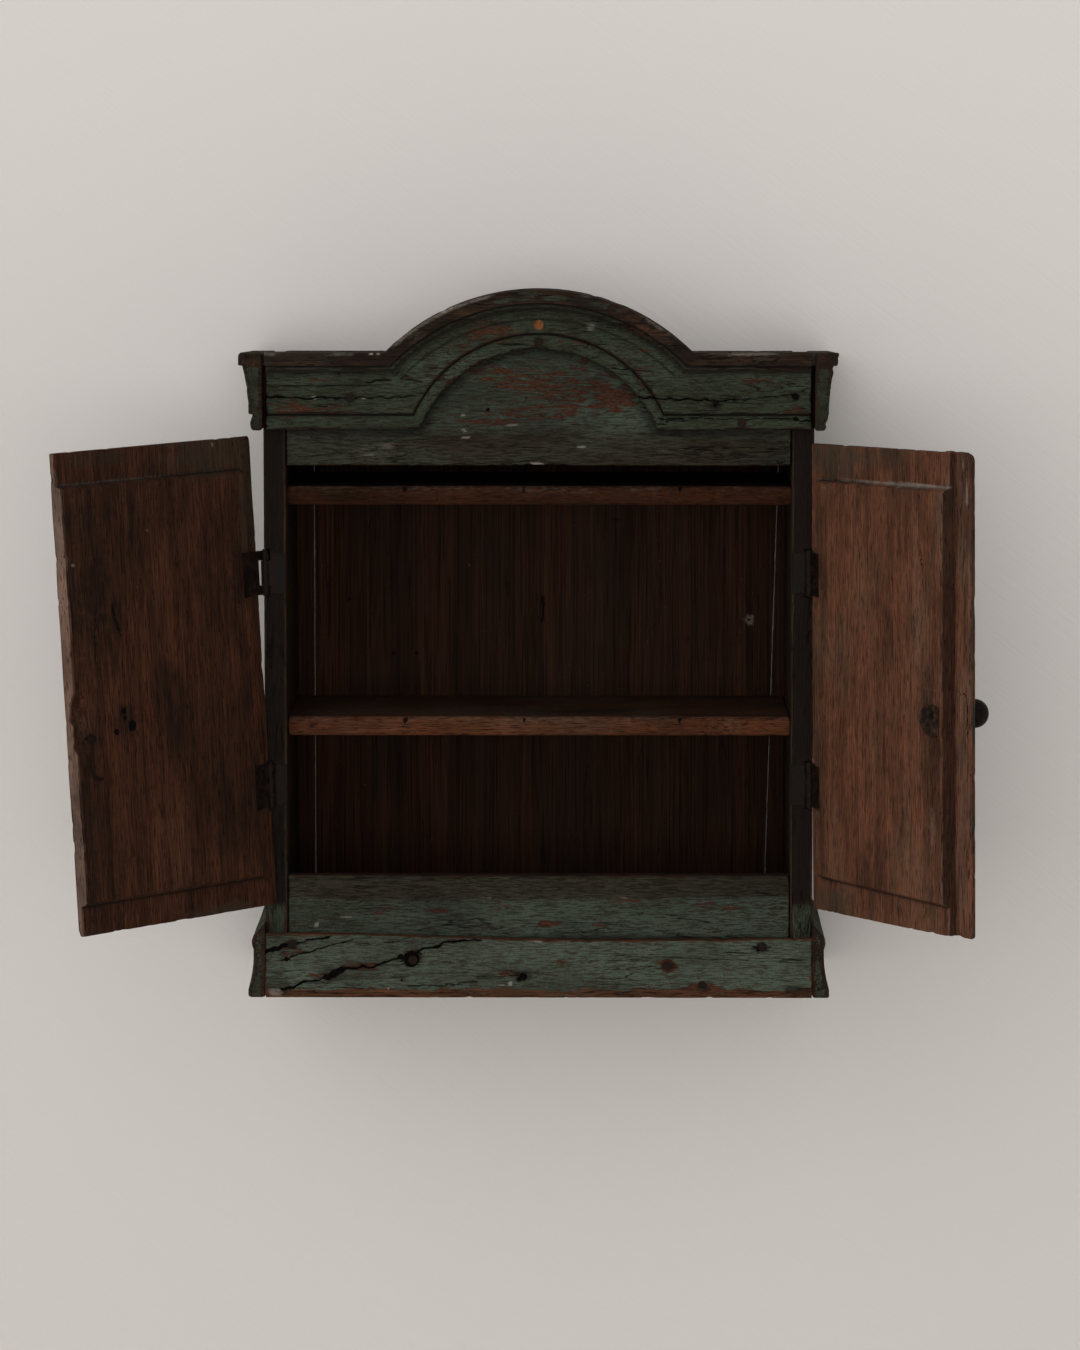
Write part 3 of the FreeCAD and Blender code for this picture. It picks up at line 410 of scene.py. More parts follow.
def bare_wood_group():
    """Bands, fibres and pores drawn out along the grain, with slow dark stains and rubbed, paler places."""
    tree, r, given, out = node_group(
        "bare_wood", [("Grain", VECTOR), ("Pale", COLOUR), ("Dark", COLOUR), ("Stain", FLOAT), ("Rub", FLOAT),
                      ("Film", FLOAT), ("Stretch", VECTOR)],
        [("Colour", COLOUR), ("Height", FLOAT)])
    grain = r.scaled(given["Grain"], given["Stretch"])
    bands = r.noise(grain, (1.8, 90, 60), 3.0, 0.60, 0.5)
    fibres = r.noise(grain, (20, 600, 600), 4.0, 0.64)
    pores = r.step(r.noise(grain, (74, 800, 800), 2.0, 0.55), 0.545, 0.64)
    stains = r.noise(grain, (6, 15, 15), 4.0, 0.62, 0.5)
    figure = r.math("ADD", r.math("MULTIPLY", r.step(bands, 0.32, 0.68), 0.34),
                    r.math("MULTIPLY", r.step(fibres, 0.3, 0.7), 0.66))
    colour = r.mix(figure, given["Dark"], given["Pale"])
    film = r.step(r.noise(grain, (5, 13, 13), 4.0, 0.62, 0.4), 0.46, 0.70)
    greyed = r.mix(1.0, given["Pale"], (0.62, 0.98, 1.20, 1), "MULTIPLY")
    colour = r.mix(r.math("MULTIPLY", film, given["Film"]), colour, greyed)
    worn = r.step(r.math("ADD", fibres, r.math("MULTIPLY", given["Rub"], 0.4)), 0.35, 0.75)
    colour = r.mix(r.math("MULTIPLY", worn, given["Rub"]), colour, (0.165, 0.100, 0.072, 1))
    colour = r.mix(r.math("MULTIPLY", pores, 0.74), colour, (0.006, 0.0035, 0.0025, 1))
    patina = r.step(r.noise(grain, (7, 24, 24), 4.0, 0.65, 0.8), 0.42, 0.70)
    colour = r.mix(r.math("MULTIPLY", patina, 0.75), colour, (0.50, 0.60, 0.68, 1), "MULTIPLY")
    stained = r.math("MULTIPLY", r.step(stains, 0.48, 0.72), given["Stain"])
    colour = r.mix(stained, colour, (0.0075, 0.0048, 0.0036, 1))
    r.link(colour, out["Colour"])
    r.link(r.math("SUBTRACT", figure, pores), out["Height"])
    return tree


def checks_group():
    """Fine drying cracks that wander along the grain, in some places only."""
    tree, r, given, out = node_group(
        "drying_cracks", [("Grain", VECTOR), ("Amount", FLOAT)], [("Mask", FLOAT)])
    level = r.noise(given["Grain"], (5.0, 70, 70), 4.0, 0.6, 0.6)
    line = r.step(r.math("ABSOLUTE", r.math("SUBTRACT", level, 0.5)), 0.003, 0.011, 1.0, 0.0)
    where = r.step(r.noise(given["Grain"], (11, 34, 34), 2.0), 0.46, 0.60)
    r.link(r.math("MULTIPLY", r.math("MULTIPLY", line, where), given["Amount"], clamp=True), out["Mask"])
    return tree


def old_paint_group():
    """Blue-green paint crazed in fine dark streaks along the grain. Where it has flaked a red-brown coat
    shows in the places marked for it and wood elsewhere; places once covered by a door are dull olive
    brown."""
    tree, r, given, out = node_group(
        "old_paint", [("Grain", VECTOR), ("Wood", COLOUR), ("Paint", FLOAT), ("Wear", FLOAT), ("Red", FLOAT),
                      ("Dull", FLOAT), ("Loss", FLOAT), ("Tone", COLOUR)],
        [("Colour", COLOUR), ("Cover", FLOAT), ("Height", FLOAT)])
    grain = given["Grain"]
    breaks = r.noise(grain, (42, 330, 330), 7.0, 0.70, 0.2)
    slow = r.noise(grain, (6, 16, 16), 3.0, 0.55)
    streaks = r.noise(grain, (84, 700, 700), 4.0, 0.72, 0.3)
    frets = r.noise(grain, (230, 900, 900), 3.0, 0.68)
    specks = r.noise(grain, (420, 760, 760), 2.0, 0.6)
    lost = r.math("ADD", r.math("MULTIPLY", breaks, 0.62), r.math("MULTIPLY", slow, 0.38))
    for source, weight in (("Wear", 0.165), ("Red", 0.145), ("Loss", 1.0)):
        lost = r.math("ADD", lost, r.math("MULTIPLY", given[source], weight))
    lost = r.math("ADD", lost, r.math("MULTIPLY", r.math("SUBTRACT", 1.0, given["Paint"]), 0.5))
    cover = r.step(lost, 0.610, 0.624, 1.0, 0.0)
    red = r.step(r.math("ADD", given["Red"], r.math("MULTIPLY", slow, 0.5)), 0.42, 0.60)
    red = r.math("MULTIPLY", red, r.step(given["Wear"], 0.35, 0.8, 1.0, 0.0))
    green = r.mix(r.step(slow, 0.32, 0.66), (0.0213, 0.0288, 0.0192, 1), (0.0378, 0.0530, 0.0380, 1))
    green = r.mix(r.math("MULTIPLY", r.step(streaks, 0.45, 0.60), 0.72), green, (0.0136, 0.0078, 0.0042, 1))
    green = r.mix(r.math("MULTIPLY", r.step(frets, 0.55, 0.70), 0.50), green, (0.060, 0.082, 0.063, 1))
    green = r.mix(r.math("MULTIPLY", r.step(specks, 0.60, 0.70), 0.70), green, (0.0090, 0.0066, 0.0045, 1))
    green = r.mix(1.0, green, given["Tone"], "MULTIPLY")
    dull = r.mix(r.step(streaks, 0.40, 0.60), (0.0255, 0.0168, 0.0102, 1), (0.0100, 0.0066, 0.0042, 1))
    green = r.mix(r.math("MULTIPLY", given["Dull"], r.step(slow, 0.28, 0.60, 1.0, 0.72)), green, dull)
    flake = r.mix(r.step(frets, 0.36, 0.64), (0.028, 0.0116, 0.0070, 1), (0.066, 0.0278, 0.0150, 1))
    colour = r.mix(cover, r.mix(red, given["Wood"], flake), green)
    r.link(colour, out["Colour"])
    r.link(cover, out["Cover"])
    relief = r.math("ADD", r.math("MULTIPLY", cover, 0.7), r.math("MULTIPLY", frets, 0.3))
    r.link(r.math("SUBTRACT", relief, r.math("MULTIPLY", r.step(streaks, 0.50, 0.62), 0.45)), out["Height"])
    return tree


def soil_and_shade_group():
    """Dirt and painted shade by the grime_and_shade amount, slow clouds of dirt, pale dust where marked, and
    black in the cracks.
    """
    tree, r, given, out = node_group(
        "soil_and_shade", [("Grain", VECTOR), ("Colour", COLOUR), ("Grime and shade", FLOAT), ("Dust", FLOAT), ("Crack", FLOAT)],
        [("Colour", COLOUR)])
    clouds = r.step(r.noise(given["Grain"], (8, 12, 12), 4.0, 0.6), 0.45, 0.78)
    # Darkening by grime_and_shade: dirt, and painted shade from the hollows and the places marked for it
    dirt_and_shade = r.math("MAXIMUM", r.math("MULTIPLY", given["Grime and shade"], 0.85), r.math("MULTIPLY", clouds, 0.5))
    colour = r.mix(dirt_and_shade, given["Colour"], (0.0068, 0.0048, 0.0037, 1))
    powder = r.math("ADD", given["Dust"], r.noise(given["Grain"], (150, 420, 420), 3.0, 0.6))
    speck = r.step(powder, 0.55, 1.05)
    colour = r.mix(r.math("MULTIPLY", speck, given["Dust"]), colour, (0.205, 0.180, 0.150, 1))
    flecks = r.step(r.noise(given["Grain"], (190, 360, 360), 2.0), 0.755, 0.79)
    colour = r.mix(r.math("MULTIPLY", flecks, 0.3), colour, (0.15, 0.14, 0.115, 1))
    # Black in the cracks, open joints and holes: painted shade in their depth, along with their dirt
    r.link(r.mix(given["Crack"], colour, (0.0028, 0.0020, 0.0016, 1)), out["Colour"])
    return tree


BARE_WOOD = bare_wood_group()
DRYING_CRACKS = checks_group()
OLD_PAINT = old_paint_group()
SOIL_AND_SHADE = soil_and_shade_group()


def new_material(name, roughness):
    """Material with a Principled shader, and the recipe to fill it."""
    material = bpy.data.materials.new(name)
    material.use_nodes = True
    shader = material.node_tree.nodes["Principled BSDF"]
    shader.inputs["Roughness"].default_value = roughness
    return material, Recipe(material.node_tree), shader


def board_finish(name, pale, dark, stain, loss, checks, tone=(1, 1, 1, 1), stretch=(1, 1, 1), film=0.4):
    """Old wood, painted where the piece says so, with cracks, worn arrises, dust and dirt."""
    gloss = 0.66
    material, r, shader = new_material(name, gloss)
    grain = r.attribute("grain", "Vector")
    wear, grime_and_shade, paint, line, half = (
        r.attribute(label) for label in ("wear", "grime_and_shade", "paint", "line", "half"))
    red, dull, dust, rub = (r.attribute(label) for label in TINTS)
    wood = r.call(BARE_WOOD, {"Grain": grain, "Pale": pale, "Dark": dark, "Stain": stain, "Rub": rub,
                              "Film": film, "Stretch": stretch})
    coat = r.call(OLD_PAINT, {"Grain": grain, "Wood": wood["Colour"], "Paint": paint, "Wear": wear,
                              "Red": red, "Dull": dull, "Loss": loss, "Tone": tone})
    veiled = r.mix(r.math("MULTIPLY", dull, 0.55), wood["Colour"], (0.0290, 0.0285, 0.0205, 1))
    fine = r.call(DRYING_CRACKS, {"Grain": grain, "Amount": checks})["Mask"]
    ragged = r.math("SUBTRACT", r.noise(grain, (330, 330, 330), 3.0, 0.6), 0.5)
    away = r.math("ABSOLUTE", r.math("ADD", line, r.math("MULTIPLY", ragged, 1.5)))
    split = r.step(r.math("SUBTRACT", away, half), -0.15, 0.25, 1.0, 0.0)
    open_cracks = r.math("MAXIMUM", fine, split)
    colour = r.mix(r.step(paint, 0.02, 0.3), veiled, coat["Colour"])
    colour = r.call(SOIL_AND_SHADE, {"Grain": grain, "Colour": colour, "Grime and shade": grime_and_shade, "Dust": dust,
                           "Crack": open_cracks})["Colour"]
    r.link(colour, shader.inputs["Base Color"])
    rough = r.math("SUBTRACT", gloss + 0.14, r.math("MULTIPLY", wood["Height"], 0.12))
    r.link(rough, shader.inputs["Roughness"])
    height = r.math("ADD", r.math("MULTIPLY", wood["Height"], 0.45),
                    r.math("MULTIPLY", coat["Height"], paint))
    height = r.math("SUBTRACT", height, r.math("MULTIPLY", open_cracks, 1.6))
    bump = r.add("ShaderNodeBump", {"Height": height, "Strength": 0.6, "Distance": 0.0011})
    r.link(bump.outputs[0], shader.inputs["Normal"])
    shader.inputs["Specular IOR Level"].default_value = 0.05
    return material


def iron_finish(name, dark, rust):
    """Rusted wrought iron: dark scale broken by rust, with a pitted surface."""
    material, r, shader = new_material(name, 0.6)
    place = r.add("ShaderNodeTexCoord").outputs["Object"]
    blooms = r.noise(place, (130, 130, 130), 5.0, 0.65, 0.4)
    pits = r.noise(place, (620, 620, 620), 3.0, 0.6)
    rusty = r.step(blooms, 0.42, 0.66)
    colour = r.mix(rusty, dark, rust)
    colour = r.mix(r.math("MULTIPLY", r.step(pits, 0.52, 0.7), 0.6), colour, (0.007, 0.005, 0.004, 1))
    r.link(colour, shader.inputs["Base Color"])
    r.link(r.math("ADD", r.math("MULTIPLY", rusty, 0.3), 0.40), shader.inputs["Roughness"])
    shader.inputs["Specular IOR Level"].default_value = 0.05
    relief = r.math("ADD", blooms, pits)
    bump = r.add("ShaderNodeBump", {"Height": relief, "Strength": 0.5, "Distance": 0.0007})
    r.link(bump.outputs[0], shader.inputs["Normal"])
    return material


PAINTED = board_finish(
    "worn_green_paint", (0.046, 0.0235, 0.0135, 1), (0.0095, 0.0060, 0.0043, 1),
    stain=0.60, loss=0.0, checks=0.9, tone=(1.10, 1.02, 0.97, 1))
# Plinth paint and wood: the green paint's colours painted lighter (tone about 1.6), as painted light on the
# plinth's front
PLINTH_PAINT_LIT = board_finish(
    "worn_plinth_paint_lit", (0.112, 0.0450, 0.0215, 1), (0.034, 0.0150, 0.0085, 1),
    stain=0.30, loss=0.0, checks=0.9, tone=(1.74, 1.57, 1.64, 1))
RAIL_PAINT = board_finish(
    "worn_rail_paint", (0.046, 0.0235, 0.0135, 1), (0.0095, 0.0060, 0.0043, 1),
    stain=0.45, loss=0.0, checks=0.9, tone=(1.26, 1.16, 1.20, 1))
# Inner wood of the doors: lit and shaded copies of one wood; the right door's, facing the window light, is
# painted about twice as light (painted light), the left door's darker (painted shade)
LEFT_WOOD_SHADED = board_finish(
    "left_door_wood_shaded", (0.080, 0.0295, 0.0142, 1), (0.0120, 0.0047, 0.0028, 1),
    stain=0.65, loss=0.03, checks=0.4, film=0.1)
RIGHT_WOOD_LIT = board_finish(
    "right_door_wood_lit", (0.170, 0.0655, 0.0335, 1), (0.046, 0.0180, 0.0102, 1),
    stain=0.45, loss=0.03, checks=0.3)
SHELF_WOOD = board_finish(
    "brown_shelf_wood", (0.100, 0.0315, 0.0118, 1), (0.026, 0.0088, 0.0040, 1),
    stain=0.45, loss=0.0, checks=0.3)
# Upper shelf's wood: the shelf wood painted about 0.4 times as light, as painted shade in the top compartment
SHELF_WOOD_SHADED = board_finish(
    "shelf_wood_shaded", (0.042, 0.0130, 0.0044, 1), (0.012, 0.0040, 0.0017, 1),
    stain=0.45, loss=0.0, checks=0.3)
# Boards inside the case: old dark wood, painted darker still as shade inside the case (its own colour and
# painted shade)
BACK_WOOD_SHADED = board_finish(
    "back_wood_shaded", (0.037, 0.0142, 0.0067, 1), (0.0098, 0.0041, 0.0022, 1),
    stain=0.50, loss=0.0, checks=0.4, stretch=(0.14, 0.95, 0.95))
IRON = iron_finish("rusted_iron", (0.0046, 0.0033, 0.0027, 1), (0.0145, 0.0072, 0.0045, 1))
BROWN_IRON = iron_finish("brown_iron", (0.011, 0.0076, 0.0058, 1), (0.046, 0.0245, 0.0155, 1))


# Case boards

def case_boards():
    """Sides, floor, top board and shelves."""
    for word, out in (("left", "-x"), ("right", "x")):
        low, high = box_mm(f"{word}_side")
        thick = high[0] - low[0]

        def bedded(a, b, word=word):
            """Thickness from the inner face, less the hinge leaves' beds and the round notches for their
            barrels."""
            height = np.full_like(a, thick)
            for level in HINGE_LEVELS:
                x, y = hinge_line(word, level)
                away = CASE_FRONT + b - y
                hollow = x - np.sqrt(np.maximum(NOTCH_RADIUS ** 2 - away ** 2, 0)) - SIDE_INNER
                notched = (np.abs(a - level) < NOTCH_HALF) & (np.abs(away) < NOTCH_RADIUS)
                height = np.where(notched, np.minimum(height, hollow), height)
                bed = (np.abs(a - level) < CASE_LEAF_HALF) & (b < LEAF_THICK)
                height = np.where(bed, CASE_LEAF - SIDE_INNER, height)
            return height

        stops = [level + edge for level in HINGE_LEVELS
                 for edge in (-NOTCH_HALF, -CASE_LEAF_HALF, CASE_LEAF_HALF, NOTCH_HALF)]
        worn_board(f"{word}_side", lay(low, high, f"z y {out}"), PAINTED, edge=1.6, step=4.0,
                   front=bedded, stops=(stops, (1.6, 3.2, 5.0, 7.0)), paint=lambda a, b: ease(b, 1.5, 6),
                   walls={"paint": lambda a, b: 0.95 * (1 - ease(a + 3 * rumble(a, b, 9, 4), 88, 96)),
                          "grime_and_shade": lambda a, b: 1.1 * ease(a, 84, 98)}, seed=11 if word == "left" else 12)
    for name, seed in (("bottom_board", 13), ("top_board", 14)):
        worn_board(name, lay(*box_mm(name), "x y z"), BACK_WOOD_SHADED, paint=bare, edge=0.8,
                   chips=0.5, step=5.0, seed=seed)
    holes = (((118, 0), 2.2), ((236, 0), 1.6), ((392, 0), 2.0))
    shelves = (("middle_shelf", SHELF_WOOD, 0.16, 15), ("upper_shelf", SHELF_WOOD_SHADED, 0.0, 16))
    for name, wood, rub, seed in shelves:
        def edge_rub(a, b):
            """Paler places along the edges."""
            return rub * ease(rumble(a, b, 26, 3) + 0.5 * rumble(a, b, 8, 4), -0.1, 0.8)

        def front_rub(a, b):
            """Paler places along the front arris."""
            return rub * (1 - ease(b, 1, 4)) * ease(rumble(a, b, 17, 5), -0.2, 0.5)

        worn_board(name, lay(*box_mm(name), "x y z"), wood, paint=bare, edge=2.0, chips=3.6,
                   marks=lambda a, b: cracks(a, b, (), holes), walls={"rub": edge_rub}, seed=seed,
                   # Painted shade on the shelf tops, darker towards the back of the case
                   tints={"grime_and_shade": lambda a, b: 0.35 + 0.3 * ease(b, 2, 14),
                          "dust": lambda a, b: 0.16 + 0.06 * rumble(a, b, 40, 6), "rub": front_rub})


def back_boards():
    """Main board with its hanging holes, and the two strips with open joints beside them."""
    low, high = box_mm("back_board_main")
    width = high[0] - low[0]

    def tapered(a, b):
        """The right edge leans: the width grows evenly from foot to head."""
        return a, b * (1 - BACK_GAP / width * (1 - a / (high[2] - low[2])))

    hung = (((-HANG_X, HANG_LEVEL), HANG_RADIUS), ((HANG_X, HANG_LEVEL), HANG_RADIUS))

    def holes(a, b):
        """The hanging holes, a knot crack and worm holes."""
        return cracks(low[0] + tapered(a, b)[1], a, ((((2, 381), (3, 362), (1, 355)), 2.5),
                                                     (((62, 470), (70, 463), (84, 458)), 0.7)),
                      (*hung, ((-196, 378), 2.4), ((-152, 322), 2.2), ((-128, 322), 2.6), ((226, 414), 1.6),
                       ((215, 357), 2.4)))

    worn_board("back_board_main", lay(low, high, "z x -y"), BACK_WOOD_SHADED, paint=bare, marks=holes,
               tints={"dust": lambda a, b: blots(low[0] + tapered(a, b)[1], a, ((215, 357, 7, 7, 0.42),))},
               back_marks=lambda a, b: cracks(low[0] + tapered(a, b)[1], a, (), hung), shape=tapered,
               edge=0.7, chips=0.6, step=4.0, seed=17,
               stops=((HANG_LEVEL - 3, HANG_LEVEL, HANG_LEVEL + 3),
                      [x - low[0] + edge for x in (-HANG_X, HANG_X) for edge in (-3, 0, 3)]))
    worn_board("back_strip_left", lay(*box_mm("back_strip_left"), "z x -y"), BACK_WOOD_SHADED,
               paint=bare, edge=0.6, chips=0.5, step=4.0, seed=18)
    low, high = box_mm("back_strip_right")
    strip = high[0] - low[0]
    worn_board("back_strip_right", lay(low, high, "z x -y"), BACK_WOOD_SHADED, paint=bare, edge=0.5,
               shape=lambda a, b: (a, strip - (strip - b) * (1 - BACK_GAP / strip * a / (high[2] - low[2]))),
               chips=0.3, step=4.0, seed=19)


def front_boards():
    """Front board under the cornice, with its arched top, and the lower rail; doors kept paint off part of
    both."""
    low, high = box_mm("front_board")
    half, head = (high[0] - low[0]) / 2, CORNICE_HEAD - low[2]
    foot = math.sqrt(ARCH_RADIUS ** 2 - (ARCH_RADIUS - ARCH_RISE) ** 2)

    def arched(a, b):
        """Height grows to the arch: each line across reaches from the foot to the arch or the straight
        top."""
        x = a - half
        rise = np.sqrt(np.maximum(ARCH_RADIUS ** 2 - x ** 2, 0)) - (ARCH_RADIUS - ARCH_RISE)
        return a, b * (head + np.maximum(rise, 0)) / (high[2] - low[2])

    flakes = ((8, 612, 80, 28, 0.84), (-6, 586, 72, 13, 0.8), (-45, 614, 30, 30, 0.8), (60, 640, 26, 10, 0.8),
              (-50, 574, 50, 5, 0.9), (-120, 552, 36, 4, 0.6), (205, 553, 34, 4, 0.6), (70, 598, 30, 14, 0.7))
    scuffs = ((-164, 546, 30, 13, 0.20), (-150, 551, 9, 4, 0.32), (-168, 541, 6, 3, 0.35),
              (-3, 532.5, 9, 1.5, 0.8), (43, 549, 6, 1.2, 0.7), (-72, 559, 7, 1.4, 0.7),
              (-74, 566, 3, 2.4, 0.6), (-75, 581, 3, 2.2, 0.6), (-27, 571, 8, 1.2, 0.6))
    # Lines along both ends, drawn black as cracks: painted shadow in the joints
    ends = [(((x, low[2]), (x, CORNICE_HEAD)), 1.5) for x in (low[0], high[0])]

    def place(a, b):
        """X and Z of a point of the board's grid."""
        return low[0] + a, low[2] + arched(a, b)[1]

    def shaded(a, b):
        """Painted shade under the cornice's lower edge, inside its arch and below its straight parts, and
        painted shadow in the joints at both ends."""
        x, z = place(a, b)
        within = BEAD_RADIUS - np.hypot(x, z - CORNICE_FOOT - BEAD_RISE + BEAD_RADIUS)
        inside = np.maximum(within, CORNICE_FOOT - z)
        under = 0.72 * (1 - ease(inside + 1.5 * rumble(x, z, 14, 12), 0.5, 13))
        return np.maximum(under * (z > CORNICE_FOOT - 8), 1.2 * (1 - ease(half - np.abs(a - half), 0.8, 2.6)))

    def covered(a, b):
        """Dull below the line that the closed doors reach."""
        return 0.82 - 0.82 * ease(place(a, b)[1] + 5 * rumble(a, b, 40, 5), 552, 572)

    worn_board("front_board", lay(low, high, "x z -y"), RAIL_PAINT, shape=arched, edge=1.2,
               step=2.2, stops=((half - foot, half + foot), ()), seed=21,
               tints={"dull": covered, "red": lambda a, b: blots(*place(a, b), flakes), "grime_and_shade": shaded,
                      "dust": lambda a, b: blots(*place(a, b), scuffs)},
               marks=lambda a, b: cracks(*place(a, b), ends, (((-50, 586), 2.0), ((-12, 598), 1.0))))
    low_rail, high_rail = box_mm("lower_rail")
    length = high_rail[0] - low_rail[0]
    bits = ((-193, 49, 7, 2.2, 0.55), (-54, 69, 12, 1.2, 0.6), (85, 69, 8, 1.1, 0.5), (-222, 41, 2.5, 2, 0.7))
    red_bits = ((-160, 56, 14, 5, 0.7), (-100, 55, 22, 4, 0.7), (-40, 60, 12, 4, 0.7), (12, 42, 14, 4, 0.8),
                (60, 43, 14, 4, 0.8), (90, 66, 30, 4, 0.6), (170, 60, 30, 5, 0.5), (-235, 42, 12, 4, 0.7))
    worn_board("lower_rail", lay(low_rail, high_rail, "x z -y"), RAIL_PAINT, edge=1.6,
               step=2.4, seed=22,
               # Lines along both ends, drawn black as cracks: painted shadow in the joints
               marks=lambda a, b: cracks(a, b, [(((x, 0), (x, high_rail[2])), 1.5) for x in (0, length)]),
               tints={"dull": lambda a, b: ease(b + 2 * rumble(a, b, 60, 6), 66, 69),
                      "red": lambda a, b: blots(low_rail[0] + a, b, red_bits),
                      # Painted shade in the joints at both ends, and on the rail's lower part where the
                      # plinth's top meets it
                      "grime_and_shade": lambda a, b: np.maximum(1.2 * (1 - ease(np.minimum(a, length - a), 0.8, 2.6)),
                                                       0.8 * (1 - ease(b, 27, 33))),
                      "dust": lambda a, b: blots(low_rail[0] + a, b, bits)})


# Mouldings

def cornice_profile(rise, drop):
    """Projection of the cornice from the height over its foot and the depth below its top: a round bead, a
    groove, a flat band, a quarter hollow and a square fillet."""
    bead = GROUND + (BEAD - GROUND) * (0.3 + 0.7 * np.sin(np.pi * np.clip(rise / BEAD_HEIGHT, 0, 1)) ** 0.6)
    hollow = np.clip((COVE_END - drop) / (COVE_END - COVE_START), 0, 1)
    cove = FASCIA + (COVE - FASCIA) * (1 - np.sqrt(1 - hollow ** 2))
    flat = np.where(rise < BEAD_HEIGHT + BEAD_GROOVE, GROUND, cove)
    return np.where(drop <= FILLET_HEIGHT, FILLET, np.where(rise <= BEAD_HEIGHT, bead, flat))


CORNICE_SPLITS = (
    (((-272, 33), (-250, 32), (-226, 31), (-214, 32.5), (-196, 31.5)), 1.5),
    (((-196, 31.5), (-172, 32.5), (-150, 32), (-122, 34)), 0.7),
    (((-170, 47), (-158, 48.5), (-146, 49)), 0.6),
    (((94, 33), (112, 32), (146, 30.5), (166, 30), (178, 28.5), (194, 30)), 1.4),
    (((194, 30), (216, 32), (234, 33.5), (252, 35)), 0.6),
    (((118, 11.5), (150, 12), (190, 11), (252, 11)), 0.5),
    (((254, 11), (262, 9.5), (271, 9)), 1.2),
    # The lines at both ends are open joints drawn black: painted shadow in them
    (((-270.5, 0), (-270.5, 64)), 1.8),
    (((270.5, 0), (270.5, 64)), 1.8),
)


